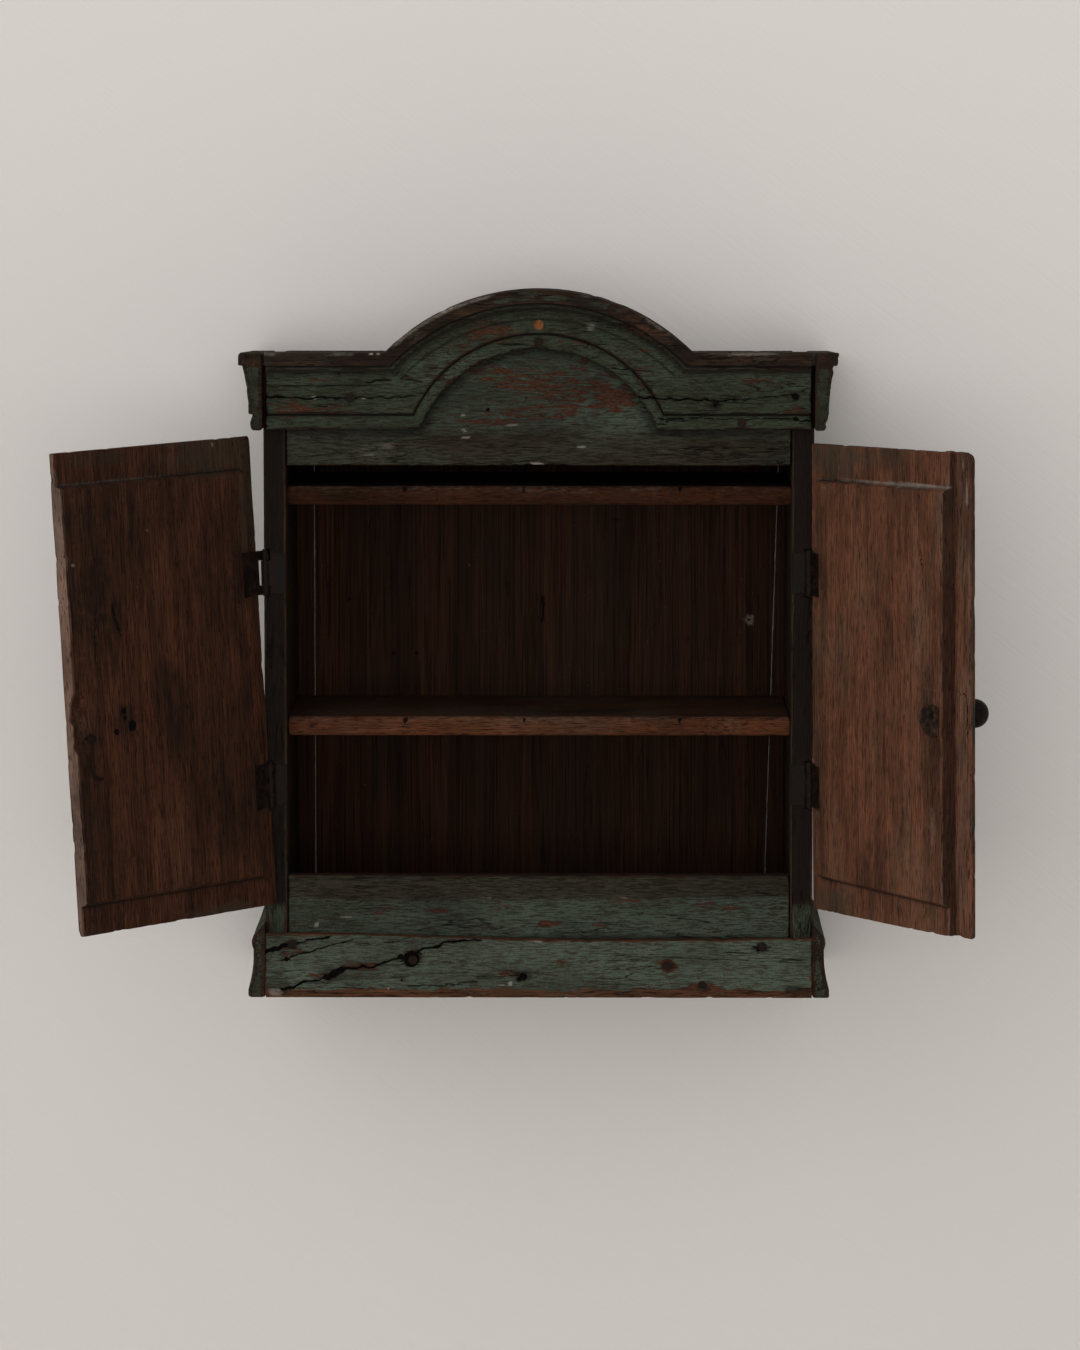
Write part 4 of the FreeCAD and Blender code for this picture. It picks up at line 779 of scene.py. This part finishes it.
def cornice_front():
    """Arched cornice: the profile is carried along two paths, the straight and arched foot and the straight
    and arched top, and its rungs lean at the mitres so that every member keeps its width."""
    low, high = box_mm("cornice_front")
    half = (high[0] - low[0]) / 2
    top_foot = math.sqrt(ARCH_RADIUS ** 2 - (ARCH_RADIUS - ARCH_RISE) ** 2)
    bead_foot = math.sqrt(BEAD_RADIUS ** 2 - (BEAD_RADIUS - BEAD_RISE) ** 2)
    straight = half - top_foot
    top_angle, bead_angle = (math.asin(top_foot / ARCH_RADIUS), math.asin(bead_foot / BEAD_RADIUS))
    arc = 2 * top_angle * ARCH_RADIUS
    length, nominal = 2 * straight + arc, CORNICE_HEAD - CORNICE_FOOT

    def rungs(a):
        """Foot point, top point and slant of the rung at a run along the top path."""
        left, right = np.clip(a / straight, 0, 1), np.clip((length - a) / straight, 0, 1)
        turn = np.clip((a - straight) / arc, 0, 1) * 2 - 1
        on_arc = (a > straight) & (a < length - straight)
        side = np.where(a < length / 2, -1, 1)
        share = np.where(a < length / 2, left, right)
        level_top, level_foot = (side * (half - share * (half - inner)) for inner in (top_foot, bead_foot))
        arc_top = CORNICE_HEAD + ARCH_RISE - ARCH_RADIUS * (1 - np.cos(turn * top_angle))
        arc_foot = CORNICE_FOOT + BEAD_RISE - BEAD_RADIUS * (1 - np.cos(turn * bead_angle))
        top_x = np.where(on_arc, ARCH_RADIUS * np.sin(turn * top_angle), level_top)
        top_z = np.where(on_arc, arc_top, CORNICE_HEAD)
        foot_x = np.where(on_arc, BEAD_RADIUS * np.sin(turn * bead_angle), level_foot)
        foot_z = np.where(on_arc, arc_foot, CORNICE_FOOT)
        reach = np.hypot(top_x - foot_x, top_z - foot_z)
        lean = np.where(on_arc, turn * top_angle, 0)
        upright = ((top_x - foot_x) * np.sin(lean) + (top_z - foot_z) * np.cos(lean)) / reach
        return foot_x, foot_z, top_x, top_z, reach, upright

    def members(a, b):
        """Height over the foot and depth below the top, square to the path. The grid's middle takes up the
        rest."""
        foot_x, foot_z, top_x, top_z, reach, upright = rungs(a)
        span = reach * upright
        lower, upper = BEAD_HEIGHT + BEAD_GROOVE + 2, COVE_END + 2
        middle = np.clip((b - lower) / (nominal - lower - upper), 0, 1)
        rise = np.where(b < lower, b, np.where(b > nominal - upper, span - (nominal - b),
                                               lower + middle * (span - lower - upper)))
        return rise, span - rise

    def laid(a, b):
        """Point on the rung at that height, given as run along X from the left end and height over the
        foot."""
        foot_x, foot_z, top_x, top_z, reach, upright = rungs(a)
        share = members(a, b)[0] / (reach * upright)
        return foot_x + share * (top_x - foot_x) + half, foot_z + share * (top_z - foot_z) - CORNICE_FOOT

    def marks(a, b):
        """The long split across both flats, open joints at both ends, and nail holes."""
        x, z = laid(a, b)
        return cracks(x - half, z, CORNICE_SPLITS, (((254, 33.5), 3.6), ((175, 25), 1.6), ((254, 11), 2.4)))

    flakes = ((-48, 96, 32, 15, 1.0), (-76, 84, 14, 10, 0.8), (-243, 23, 34, 11, 0.92),
              (-200, 20, 26, 7, 0.8), (213, 47, 20, 5, 0.7), (150, 31, 40, 7, 0.7), (96, 97, 22, 9, 0.7),
              (250, 20, 22, 7, 0.7),
              (-215, 46, 34, 5, 0.7), (20, 112, 40, 5, 0.7), (0, 86, 60, 4, 0.7),
              (104, 62, 12, 26, 0.5), (126, 40, 14, 8, 0.6))
    scuffs = ((-94, 117.5, 4, 1.5, 1.0), (-87, 121, 3.5, 1.4, 1.0), (-82, 123.5, 2, 1, 1.0),
              (-165, 75.8, 3, 1.2, 1.0), (-158, 76, 2.5, 1, 0.9), (-222, 32, 3, 1.3, 0.9),
              (-172, 31, 2.5, 1.5, 0.9), (52, 102, 6, 6, 0.36), (-106, 6, 4, 1.8, 0.8))
    knots = ((175, 25, 6, 5, 0.9), (-186, 31, 9, 8, 0.8))

    def spots(table):
        """Blotches of a table laid by X and height over the foot."""
        def mask(a, b):
            x, z = laid(a, b)
            return blots(x - half, z, table)
        return mask

    def coat(a, b):
        """Paint on all members, in rags on the fillet, which is worn to the wood."""
        rags = 0.60 + 0.36 * rumble(a, b * 4, 31, 91) + 0.15 * rumble(a, b * 4, 9, 95)
        under = ease(members(a, b)[1] + 2 * rumble(a, b, 30, 9), FILLET_HEIGHT - 1, FILLET_HEIGHT + 3)
        return rags + (1 - rags) * under

    def dirt_and_shade(a, b):
        """Dirt in patches along the fillet and round two knots; painted shade in the hollow under the fillet
        and in a line below the arch's hollow."""
        drop = members(a, b)[1]
        patches = 0.80 * ease(rumble(a, b * 4, 37, 92) + 0.6 * rumble(a, b * 5, 11, 93), -0.15, 0.55)
        # Painted shade in the hollow under the fillet, and a painted dark line below the arch's hollow
        below = 0.5 * (1 - ease(drop + 2 * rumble(a, b, 25, 96), FILLET_HEIGHT + 3, COVE_END))
        below = below * (drop > FILLET_HEIGHT)
        arched = ease(a, straight, straight + 20) * ease(length - a, straight, straight + 20)
        below = np.maximum(below, 0.75 * arched * (1 - ease(np.abs(drop - COVE_END - 0.6), 0.5, 1.7)))
        return np.maximum(patches * (drop < FILLET_HEIGHT), below) + spots(knots)(a, b)

    def settled(a, b):
        """Thin dust along the top of the fillet."""
        return 0.42 * (1 - ease(members(a, b)[1], 1.5, 5.0)) * ease(rumble(a, b, 37, 94), -0.6, 0.4)

    corner = np.array([-half, CASE_FRONT, CORNICE_FOOT])
    place = (corner, np.array([[1, 0, 0], [0, 0, 1], [0, -1, 0]], float), (length, nominal, FILLET))
    steps = (BEAD_HEIGHT, BEAD_HEIGHT + BEAD_GROOVE, nominal - COVE_END, nominal - COVE_START,
             nominal - FILLET_HEIGHT)
    worn_board("cornice_front", place, PAINTED, shape=laid, edge=1.7, chips=2.6, step=1.6,
               bow=0.3, front=lambda a, b: cornice_profile(*members(a, b)), marks=marks, paint=coat,
               walls={"paint": 0.1},
               tints={"red": spots(flakes), "grime_and_shade": dirt_and_shade,
                      "dust": lambda a, b: np.maximum(settled(a, b), spots(scuffs)(a, b))},
               stops=((straight, length - straight), steps), seed=31)


def return_profile(rise, drop, worn):
    """Projection of a cornice return: a round bead, a groove, a long hollow and a square fillet; the worn
    share of the bead and groove is rubbed down to a plain slope."""
    bead = GROUND + (RETURN_BEAD - GROUND) * np.sin(np.pi * np.clip(rise / BEAD_HEIGHT, 0, 1)) ** 0.7
    hollow = np.clip((RETURN_HOLLOW - drop) / (RETURN_HOLLOW - FILLET_HEIGHT), 0, 1)
    cove = FASCIA + (RETURN_COVE - FASCIA) * (0.45 * hollow + 0.55 * hollow ** 2.4)
    slope = GROUND + (FASCIA - GROUND) * np.clip(rise / (BEAD_HEIGHT + BEAD_GROOVE), 0, 1)
    foot = np.where(rise <= BEAD_HEIGHT, bead, GROUND) * (1 - worn) + slope * worn
    shaft = np.where(rise < BEAD_HEIGHT + BEAD_GROOVE, foot, cove)
    return np.where(drop <= FILLET_HEIGHT, RETURN_FILLET, shaft)


def cornice_returns():
    """Short returns of the cornice along both sides, with their end grain to the front and tops that fall
    back."""
    for word, out, worn, rough, seed in (("left", "-x", 0.0, 0.9, 33), ("right", "x", 0.9, 2.6, 34)):
        low, high = box_mm(f"cornice_return_{word}")
        nominal, depth = high[2] - low[2], high[1] - low[1]
        steps = (BEAD_HEIGHT, BEAD_HEIGHT + BEAD_GROOVE, nominal - RETURN_HOLLOW, nominal - FILLET_HEIGHT)

        def battered(a, b):
            """The profile, less shallow bites out of its face that come thickest at the front end."""
            bite = np.maximum(rumble(a * 0.4, b, 7, seed) + 0.5 * rumble(a * 0.5, b, 3, seed + 1) - 0.1, 0)
            return return_profile(b, nominal - b, worn) - rough * bite * (1 - 0.6 * ease(a, 8, 40))

        def falling(a, b):
            """The top drops evenly from the front end to the wall, within the fillet."""
            top = nominal - FILLET_HEIGHT
            kept = 1 - 0.9 * RETURN_FALL / FILLET_HEIGHT * a / depth
            return a, np.where(b > top, top + (b - top) * kept, b)

        def end_coat(a, b):
            """Paint on the end grain, worn thin on the fillet."""
            return 0.92 - 0.5 * ease(b + 2 * rumble(a, b, 8, 3), nominal - 16, nominal - 11)

        worn_board(f"cornice_return_{word}", lay(low, high, f"y z {out}"), PAINTED, edge=2.0,
                   chips=3.0, step=2.0, shape=falling, front=battered,
                   paint=lambda a, b: 1 - 0.5 * ease(b, nominal - 15, nominal - 11),
                   walls={"paint": end_coat,
                          "grime_and_shade": lambda a, b: 0.5 * ease(rumble(a + b, b, 11, 4), -0.4, 0.6)},
                   stops=((), steps), seed=seed)


def plinth_profile(z):
    """Projection of the plinth: a square foot, a long hollow and a plain neck."""
    share = np.clip((z - PLINTH_FOOT_HEIGHT) / (PLINTH_NECK_HEIGHT - PLINTH_FOOT_HEIGHT), 0, 1)
    slope = PLINTH_FOOT + (PLINTH_NECK - PLINTH_FOOT) * share
    return slope - 1.6 * np.sin(np.pi * share) * (z > PLINTH_FOOT_HEIGHT)


SPLITS = (
    (((-256, 8), (-244, 11), (-232, 16), (-216, 18)), 2.0),
    (((-211, 19.5), (-205, 22), (-197, 26.5)), 7.0),
    (((-216, 18), (-190, 29)), 1.8),
    (((-192, 29), (-184, 29), (-176, 31), (-169, 30), (-157, 33), (-150, 36), (-144, 38), (-134, 39)), 2.2),
    (((-122, 45), (-117, 49), (-108, 51), (-99, 52), (-95, 56), (-84, 58), (-58, 60.5)), 1.7),
    (((-273, 45), (-262, 48), (-250, 51)), 4.2),
    (((-250, 51), (-232, 55), (-208, 59)), 1.7),
    (((-256, 36), (-244, 41), (-226, 45), (-204, 52), (-186, 56)), 0.8),
    (((-60, 16), (-95, 12), (-130, 12)), 0.5),
    (((214, 54), (221, 52), (232, 53)), 1.2),
    (((218, 48), (222, 53), (220, 58)), 1.0),
)


def plinth():
    """Plinth front with its broken split and empty holes, and the two returns whose tops slope to the
    sides."""
    low, high = box_mm("plinth_front")
    half = (high[0] - low[0]) / 2

    def sagged(a, b):
        """The top edge isn't quite straight: it dips from the left end towards the middle."""
        dip = 1.5 - 6.5 * ease(a, 20, 330) + 2.0 * ease(a, 380, 546)
        return a, b + dip * ease(b, 30, 62)

    def marks(a, b):
        """The splits, empty nail holes, and the hollows round two nails."""
        return cracks(a - half, b, SPLITS,
                      (((-252, 37), 2.2), ((-137, 17), 1.2), ((-15, 21), 3.6), ((221, 52), 3.2),
                       ((-19, 18), 2.4), ((-138, 41), 2.6), ((-127, 38.5), 8.2)))

    stains = ((-178, 30, 26, 6, 0.9), (-126, 39, 14, 12, 1.0), (-28, 26, 18, 8, 0.8), (128, 32, 12, 9, 0.9),
              (22, 35, 9, 3, 0.8), (-250, 44, 22, 8, 0.6), (164, 13, 22, 7, 0.8), (-216, 20, 16, 6, 0.6))
    soot = ((-126, 39, 11, 9, 0.8), (128, 32, 8, 7, 0.7), (-247, 52, 9, 6, 0.7), (222, 52, 9, 7, 0.8),
            (164, 12, 8, 6, 0.7), (-204, 23, 16, 9, 0.6), (-262, 14, 16, 16, 0.6), (-15, 21, 9, 7, 0.6),
            (260, 6, 18, 6, 0.8))
    chips_pale = ((-28, 14, 2.8, 2.4, 0.9), (-37, 13, 4, 1, 0.6), (0, 60, 7, 1.3, 0.6),
                  (-150, 9, 1.8, 1.3, 0.8), (-262, 5, 11, 4, 0.42))

    def foot_coat(a, b):
        """Paint worn to rags along the foot, and thin along the top arris."""
        foot = 1 - ease(b + 2.6 * rumble(a, b * 2, 15, 4) + rumble(a, b * 2, 5, 5), 6.5, 10.5)
        return 1 - 0.40 * foot * (1 + 0.4 * rumble(a, b * 3, 8, 6)) - 0.06 * ease(b, 59, 62)

    worn_board("plinth_front", lay(low, high, "x z -y"), PLINTH_PAINT_LIT, shape=sagged, edge=1.6,
               chips=2.4, step=1.5, front=lambda a, b: plinth_profile(b), marks=marks, paint=foot_coat,
               stops=((), (PLINTH_FOOT_HEIGHT, PLINTH_NECK_HEIGHT)), walls={"paint": 0.1}, seed=36,
               tints={"red": lambda a, b: blots(a - half, b, stains),
                      "grime_and_shade": lambda a, b: blots(a - half, b, soot),
                      "dust": lambda a, b: blots(a - half, b, chips_pale),
                      "rub": lambda a, b: blots(a - half, b, ((-262, 4, 10, 4.5, 1.0),))})

    def side_profile(z):
        """The plinth's profile, with a small swelling at the neck and a top that slopes back to the side."""
        neck = PLINTH_NECK * (1 + 0.15 * np.sin(np.pi * np.clip((z - PLINTH_NECK_HEIGHT) / 14, 0, 1)))
        slope = neck * np.clip((RETURN_HEAD - z) / (RETURN_HEAD - PLINTH_HEAD), 0.06, 1)
        return np.where(z < PLINTH_NECK_HEIGHT, plinth_profile(z), np.where(z < PLINTH_HEAD, neck, slope))

    for word, out, seed in (("left", "-x", 37), ("right", "x", 38)):
        low, high = box_mm(f"plinth_return_{word}")
        worn_board(f"plinth_return_{word}", lay(low, high, f"y z {out}"), PAINTED, edge=1.8,
                   chips=2.6, step=2.4, front=lambda a, b: side_profile(b), walls={"paint": 0.85}, seed=seed,
                   stops=((), (PLINTH_FOOT_HEIGHT, PLINTH_NECK_HEIGHT, PLINTH_HEAD)))


# Doors

def door_height(side, along, across):
    """Thickness of a door: the lip, the raised field with its soft border, the sunk beds of the hinge leaves
    and round notches beside their barrels."""
    z, x = DOOR_SPAN[side][0] + along, DOOR_MEET + across
    head = FIELD_HEAD[side] + DOOR_RISE[side] * (1 - x / FIELD_END)
    inside = np.minimum.reduce([z - FIELD_FOOT, head - z, FIELD_END - x])
    height = LIP_THICK + (FIELD_THICK - LIP_THICK) * ease(inside, -0.2, 2.6)
    for level in HINGE_LEVELS:
        bed = (np.abs(z - level) < DOOR_LEAF_HALF) & (x > DOOR_LEAF)
        height = np.where(bed, LIP_THICK - LEAF_THICK, height)
        pin, y = hinge_line(side, level)
        hollow = y - np.sqrt(np.maximum(NOTCH_RADIUS ** 2 - (x - pin) ** 2, 0)) - DOOR_FACE
        notched = (np.abs(z - level) < NOTCH_HALF) & (np.abs(x - pin) < NOTCH_RADIUS)
        height = np.where(notched, np.minimum(height, hollow), height)
    return height


WOOD = {"left": LEFT_WOOD_SHADED, "right": RIGHT_WOOD_LIT}
DUST = {"left": 0.26, "right": 0.62}
RUB = {"left": 0.9, "right": 0.0}
# Painted shade on the edge faces of the right door, which stand in shade; none on the left door
EDGE_SHADE = {"left": 0.0, "right": 0.7}
SCUFFS = {
    "left": ((110, 478, 3, 2.2, 0.4), (9, 452, 4, 1.8, 0.6), (150, 309, 18, 1.2, 0.3),
             (212, 556, 2, 1.5, 0.7)),
    "right": ((14, 318, 4, 9, 0.3), (225, 512, 2, 2, 0.5), (84, 520, 2, 2, 0.4)),
}
RUBBED = {
    "left": ((10, 290, 8, 22, 0.16), (120, 160, 30, 60, 0.08)),
    "right": ((46, 420, 7, 110, 0.26), (60, 220, 14, 60, 0.14), (140, 300, 20, 120, 0.08),
              (17, 199, 7, 26, 0.5), (42, 245, 6, 5, 0.5), (22, 330, 16, 1.5, 0.5), (14, 322, 2, 12, 0.4)),
}
SMEARS = {
    "left": ((205, 545, 70, 24, 0.75), (190, 95, 50, 8, 0.8), (248, 490, 16, 70, 0.7), (60, 552, 50, 9, 0.4)),
    "right": ((216, 540, 70, 20, 1.0), (226, 100, 56, 16, 0.95), (120, 545, 60, 10, 0.7),
              (250, 300, 14, 190, 0.4)),
}
STAINS = {
    "left": ((26, 430, 44, 100, 0.45), (22, 200, 26, 110, 0.35), (33, 423, 18, 45, 0.75),
             (18, 398, 15, 8, 0.7), (60, 395, 14, 22, 0.6), (66, 296, 20, 16, 0.6), (135, 505, 20, 30, 0.4),
             (240, 212, 30, 34, 0.5), (240, 424, 32, 34, 0.6)),
    "right": ((250, 212, 20, 36, 0.5), (250, 424, 22, 30, 0.5), (60, 390, 16, 20, 0.35)),
}


def doors():
    """Both doors, in closed places and then swung open: bare inside, painted outside."""
    for side, sign, seed in (("left", -1, 41), ("right", 1, 42)):
        foot, head = DOOR_SPAN[side]
        end = DOOR_END[side]
        corner = np.array([sign * DOOR_MEET, DOOR_FACE, foot])
        axes = np.array([[0, 0, 1], [sign, 0, 0], [0, 1, 0]], float)
        beds = [level - foot + edge for level in HINGE_LEVELS for edge in (-DOOR_LEAF_HALF, DOOR_LEAF_HALF)]

        def skewed(a, b):
            """Out of square: foot and head rise evenly from the hinge edge to the free edge."""
            lift = DOOR_RISE[side] * (1 - b / (end - DOOR_MEET))
            rim = np.maximum(1 - ease(a, 0, 30), ease(a, head - foot - 30, head - foot))
            return a + lift * rim, b

        def marks(a, b):
            """Short cracks and old nail holes inside."""
            z, x = foot + a, DOOR_MEET + b
            if side == "right":
                return cracks(x, z, ((((40, 470), (38, 440)), 0.8),), (((30, 343), 1.4),))
            return cracks(x, z, ((((58, 412), (62, 395), (67, 381)), 1.4),
                                 (((37, 410), (33, 385), (31, 360), (32, 344)), 0.8)),
                          (((65, 306), 3.4), ((75, 291), 5.4), ((54, 287), 3.4), ((66, 299), 2.6),
                           ((160, 330), 1.3), ((188, 331), 1.2), ((200, 327), 1.4)))

        def front(a, b):
            """The door's thickness; on the left door a rough scoop is worn into the free edge."""
            height = door_height(side, a, b)
            if side == "right":
                return height
            scoop = ease(24 - b, 0, 16) * ease(a + foot, 268, 280) * (1 - ease(a + foot, 318, 332))
            return height - 6.0 * scoop * (1 + 0.5 * rumble(a, b, 7, 3))

        def ledge(a, b):
            """Dust on the upper border of the field, and pale scuffs."""
            z, x = foot + a, DOOR_MEET + b
            border = FIELD_HEAD[side] + DOOR_RISE[side] * (1 - x / FIELD_END)
            line = (1 - ease(np.abs(border + 1.2 - z), 0.6, 3.2)) * (x < FIELD_END)
            patchy = 0.75 + 0.4 * rumble(x, z, 33, 13) + 0.2 * rumble(x, z, 9, 14)
            return np.maximum(line * patchy * DUST[side], blots(x, z, SCUFFS[side]))

        def rubbed(a, b):
            """Paler wood along the free arris and in a few streaks."""
            arrises = 0.34 * (1 - ease(b, 0.3, 2.2)) * ease(rumble(a, b, 31, 7), -0.6, 0.4)
            return np.maximum(arrises, blots(DOOR_MEET + b, foot + a, RUBBED[side]))

        place = (corner, axes, (head - foot, end - DOOR_MEET, FIELD_THICK))
        worn_board(f"{side}_door_board", place, WOOD[side], body=f"{side}_door", front=front,
                   marks=marks, paint=bare, back_paint=coated,
                   walls={"paint": 0.0, "grime_and_shade": EDGE_SHADE[side],
                          "rub": lambda a, b: RUB[side] * (1 + 0.3 * rumble(a, b, 45, 8))},
                   tints={"dust": ledge, "rub": rubbed,
                          "dull": lambda a, b: blots(DOOR_MEET + b, foot + a, SMEARS[side]),
                          "grime_and_shade": lambda a, b: blots(DOOR_MEET + b, foot + a, STAINS[side])},
                   shape=skewed, edge=1.8, chips=3.0, step=2.6, swing=f"{side}_door_hinge", seed=seed,
                   stops=((FIELD_FOOT - foot, FIELD_HEAD[side] - foot, *beds),
                          (FIELD_END - DOOR_MEET, DOOR_LEAF - DOOR_MEET)))


def cover_strip():
    """Strip over the meeting edges: a flat with a sunk line and a round bead along its free edge."""
    foot, head = (level + DOOR_RISE["right"] for level in DOOR_SPAN["right"])
    low, high = np.array([STRIP_LEFT, STRIP_FACE, foot]), np.array([STRIP_RIGHT, DOOR_FACE, head])
    thick = high[1] - low[1]

    def moulded(a, b):
        """A half-round bead, a sunk line and a flat, across the strip."""
        bead = thick - 3.2 * (1 - np.sqrt(np.clip(1 - ((b - 5) / 5) ** 2, 0, 1)))
        return np.where(b < 10, np.minimum(bead, thick), np.where(b < 12, thick - 3.0, thick))

    def rounded(a, b):
        """The free corner at the head is rounded: lines along it end sooner near the free edge."""
        return a - fall(b, 13.0) * ease(a, head - foot - 60, head - foot), b

    def splits(a, b):
        """Cracks across and along the back of the free part, near the knob."""
        return cracks(low[0] + b, foot + a, ((((0, 331), (-7, 327), (-12, 329), (-18, 322)), 1.2),
                                             (((-18, 322), (-17.5, 300), (-19, 284)), 1.2)))

    scuffs = ((-12, 547, 4, 7, 0.5), (-19, 521, 2.2, 26, 0.5), (-8, 520, 3, 20, 0.2), (-15, 470, 4, 9, 0.25))
    worn_board("right_door_cover_strip", lay(low, high, "z x -y"), RIGHT_WOOD_LIT, body="right_door",
               front=moulded, back=lambda a, b: np.where(b < 24, 0.6, 0.0), shape=rounded, back_marks=splits,
               edge=1.6, chips=2.6, step=2.2, stops=((), (10, 12)), walls={"paint": 0.85},
               swing="right_door_hinge", seed=45,
               back_tints={"dust": lambda a, b: blots(low[0] + b, foot + a, scuffs),
                           "rub": lambda a, b: 0.22 + 0.2 * rumble(a, b * 3, 40, 6)})


# Ironwork and peg keep their solids and take their finishes.

def ironwork():
    """Rust on every nail, hinge, latch and hook piece, browner on the tongue that hands have rubbed."""
    for name, node in NODES.items():
        if any(word in name for word in ("nail", "hinge", "latch", "hook")):
            node.data.materials.clear()
            node.data.materials.append(BROWN_IRON if name == "latch_tongue" else IRON)
    peg, r, shader = new_material("peg_wood", 0.6)
    place = r.add("ShaderNodeTexCoord").outputs["Object"]
    rays = r.noise(place, (700, 60, 260), 4.0, 0.65)
    shader.inputs["Specular IOR Level"].default_value = 0.05
    r.link(r.mix(r.step(rays, 0.35, 0.65), (0.060, 0.021, 0.0075, 1), (0.150, 0.058, 0.021, 1)),
           shader.inputs["Base Color"])
    NODES["wooden_peg"].data.materials.clear()
    NODES["wooden_peg"].data.materials.append(peg)


# Wall, floor, light and camera

def staged_plane(name, corners, material):
    """Flat quad from four corners in metres."""
    mesh = bpy.data.meshes.new(name)
    mesh.from_pydata(corners, [], [(0, 1, 2, 3)])
    mesh.materials.append(material)
    plane = bpy.data.objects.new(name, mesh)
    bpy.context.scene.collection.objects.link(plane)


def plaster(name, colour):
    """Pale plaster with faint trowel strokes. Its back lets light and sight through, and its front lets light
    through to what lies against it, so that the cupboard's back isn't black from behind."""
    material, r, shader = new_material(name, 0.9)
    place = r.add("ShaderNodeTexCoord").outputs["Object"]
    leaning = r.add("ShaderNodeVectorRotate", {"Vector": place, "Axis": (0, 1, 0),
                                               "Angle": math.radians(-38)})
    strokes = r.noise(leaning.outputs[0], (7, 7, 150), 4.0, 0.6, 0.8)
    shader.inputs["Base Color"].default_value = colour
    bump = r.add("ShaderNodeBump", {"Height": strokes, "Strength": 0.12, "Distance": 0.004})
    r.link(bump.outputs[0], shader.inputs["Normal"])
    clear = r.add("ShaderNodeBsdfTransparent")
    behind = r.add("ShaderNodeNewGeometry").outputs["Backfacing"]
    touching = r.math("LESS_THAN", r.add("ShaderNodeLightPath").outputs["Ray Length"], 0.012)
    blend = r.add("ShaderNodeMixShader", {0: r.math("MAXIMUM", behind, touching), 1: shader.outputs[0],
                                          2: clear.outputs[0]})
    r.link(blend.outputs[0], material.node_tree.nodes["Material Output"].inputs["Surface"])
    return material


def stage():
    """Pale wall just behind the cupboard, pale floor below, soft light from the left and the front, the
    camera."""
    wall_y, floor_z, reach, height = 0.003, -1.2, 6.0, 4.5
    staged_plane("wall", [(-reach, wall_y, floor_z), (reach, wall_y, floor_z), (reach, wall_y, height),
                          (-reach, wall_y, height)], plaster("wall_plaster", (0.60, 0.57, 0.545, 1)))
    staged_plane("floor", [(-reach, -2 * reach, floor_z), (reach, -2 * reach, floor_z),
                           (reach, wall_y, floor_z), (-reach, wall_y, floor_z)],
                 plaster("floor_plaster", (0.80, 0.775, 0.75, 1)))
    world = bpy.data.worlds.new("room")
    bpy.context.scene.world = world
    world.use_nodes = True
    world.node_tree.nodes["Background"].inputs["Color"].default_value = (1.0, 0.985, 0.97, 1)
    world.node_tree.nodes["Background"].inputs["Strength"].default_value = 0.58
    lamps = (("window", 1.8, 115, (79, 0, -50)), ("front_fill", 1.15, 36, (97, 0, 0)))
    for name, energy, angle, turn in lamps:
        lamp = bpy.data.lights.new(name, "SUN")
        lamp.energy = energy
        lamp.angle = math.radians(angle)
        light = bpy.data.objects.new(name, lamp)
        light.rotation_euler = [math.radians(degrees) for degrees in turn]
        bpy.context.scene.collection.objects.link(light)
    lens = bpy.data.cameras.new("camera")
    lens.sensor_width = 36.0
    lens.lens = 157.5
    lens.clip_end = 60.0
    camera = bpy.data.objects.new("camera", lens)
    camera.location = (0.0533, -6.070, 0.9477)
    camera.rotation_euler = (math.radians(83.89), 0, math.radians(0.51))
    bpy.context.scene.collection.objects.link(camera)
    bpy.context.scene.camera = camera
    bpy.context.scene.view_settings.view_transform = "Standard"


case_boards()
back_boards()
front_boards()
cornice_front()
cornice_returns()
plinth()
doors()
cover_strip()
ironwork()
stage()
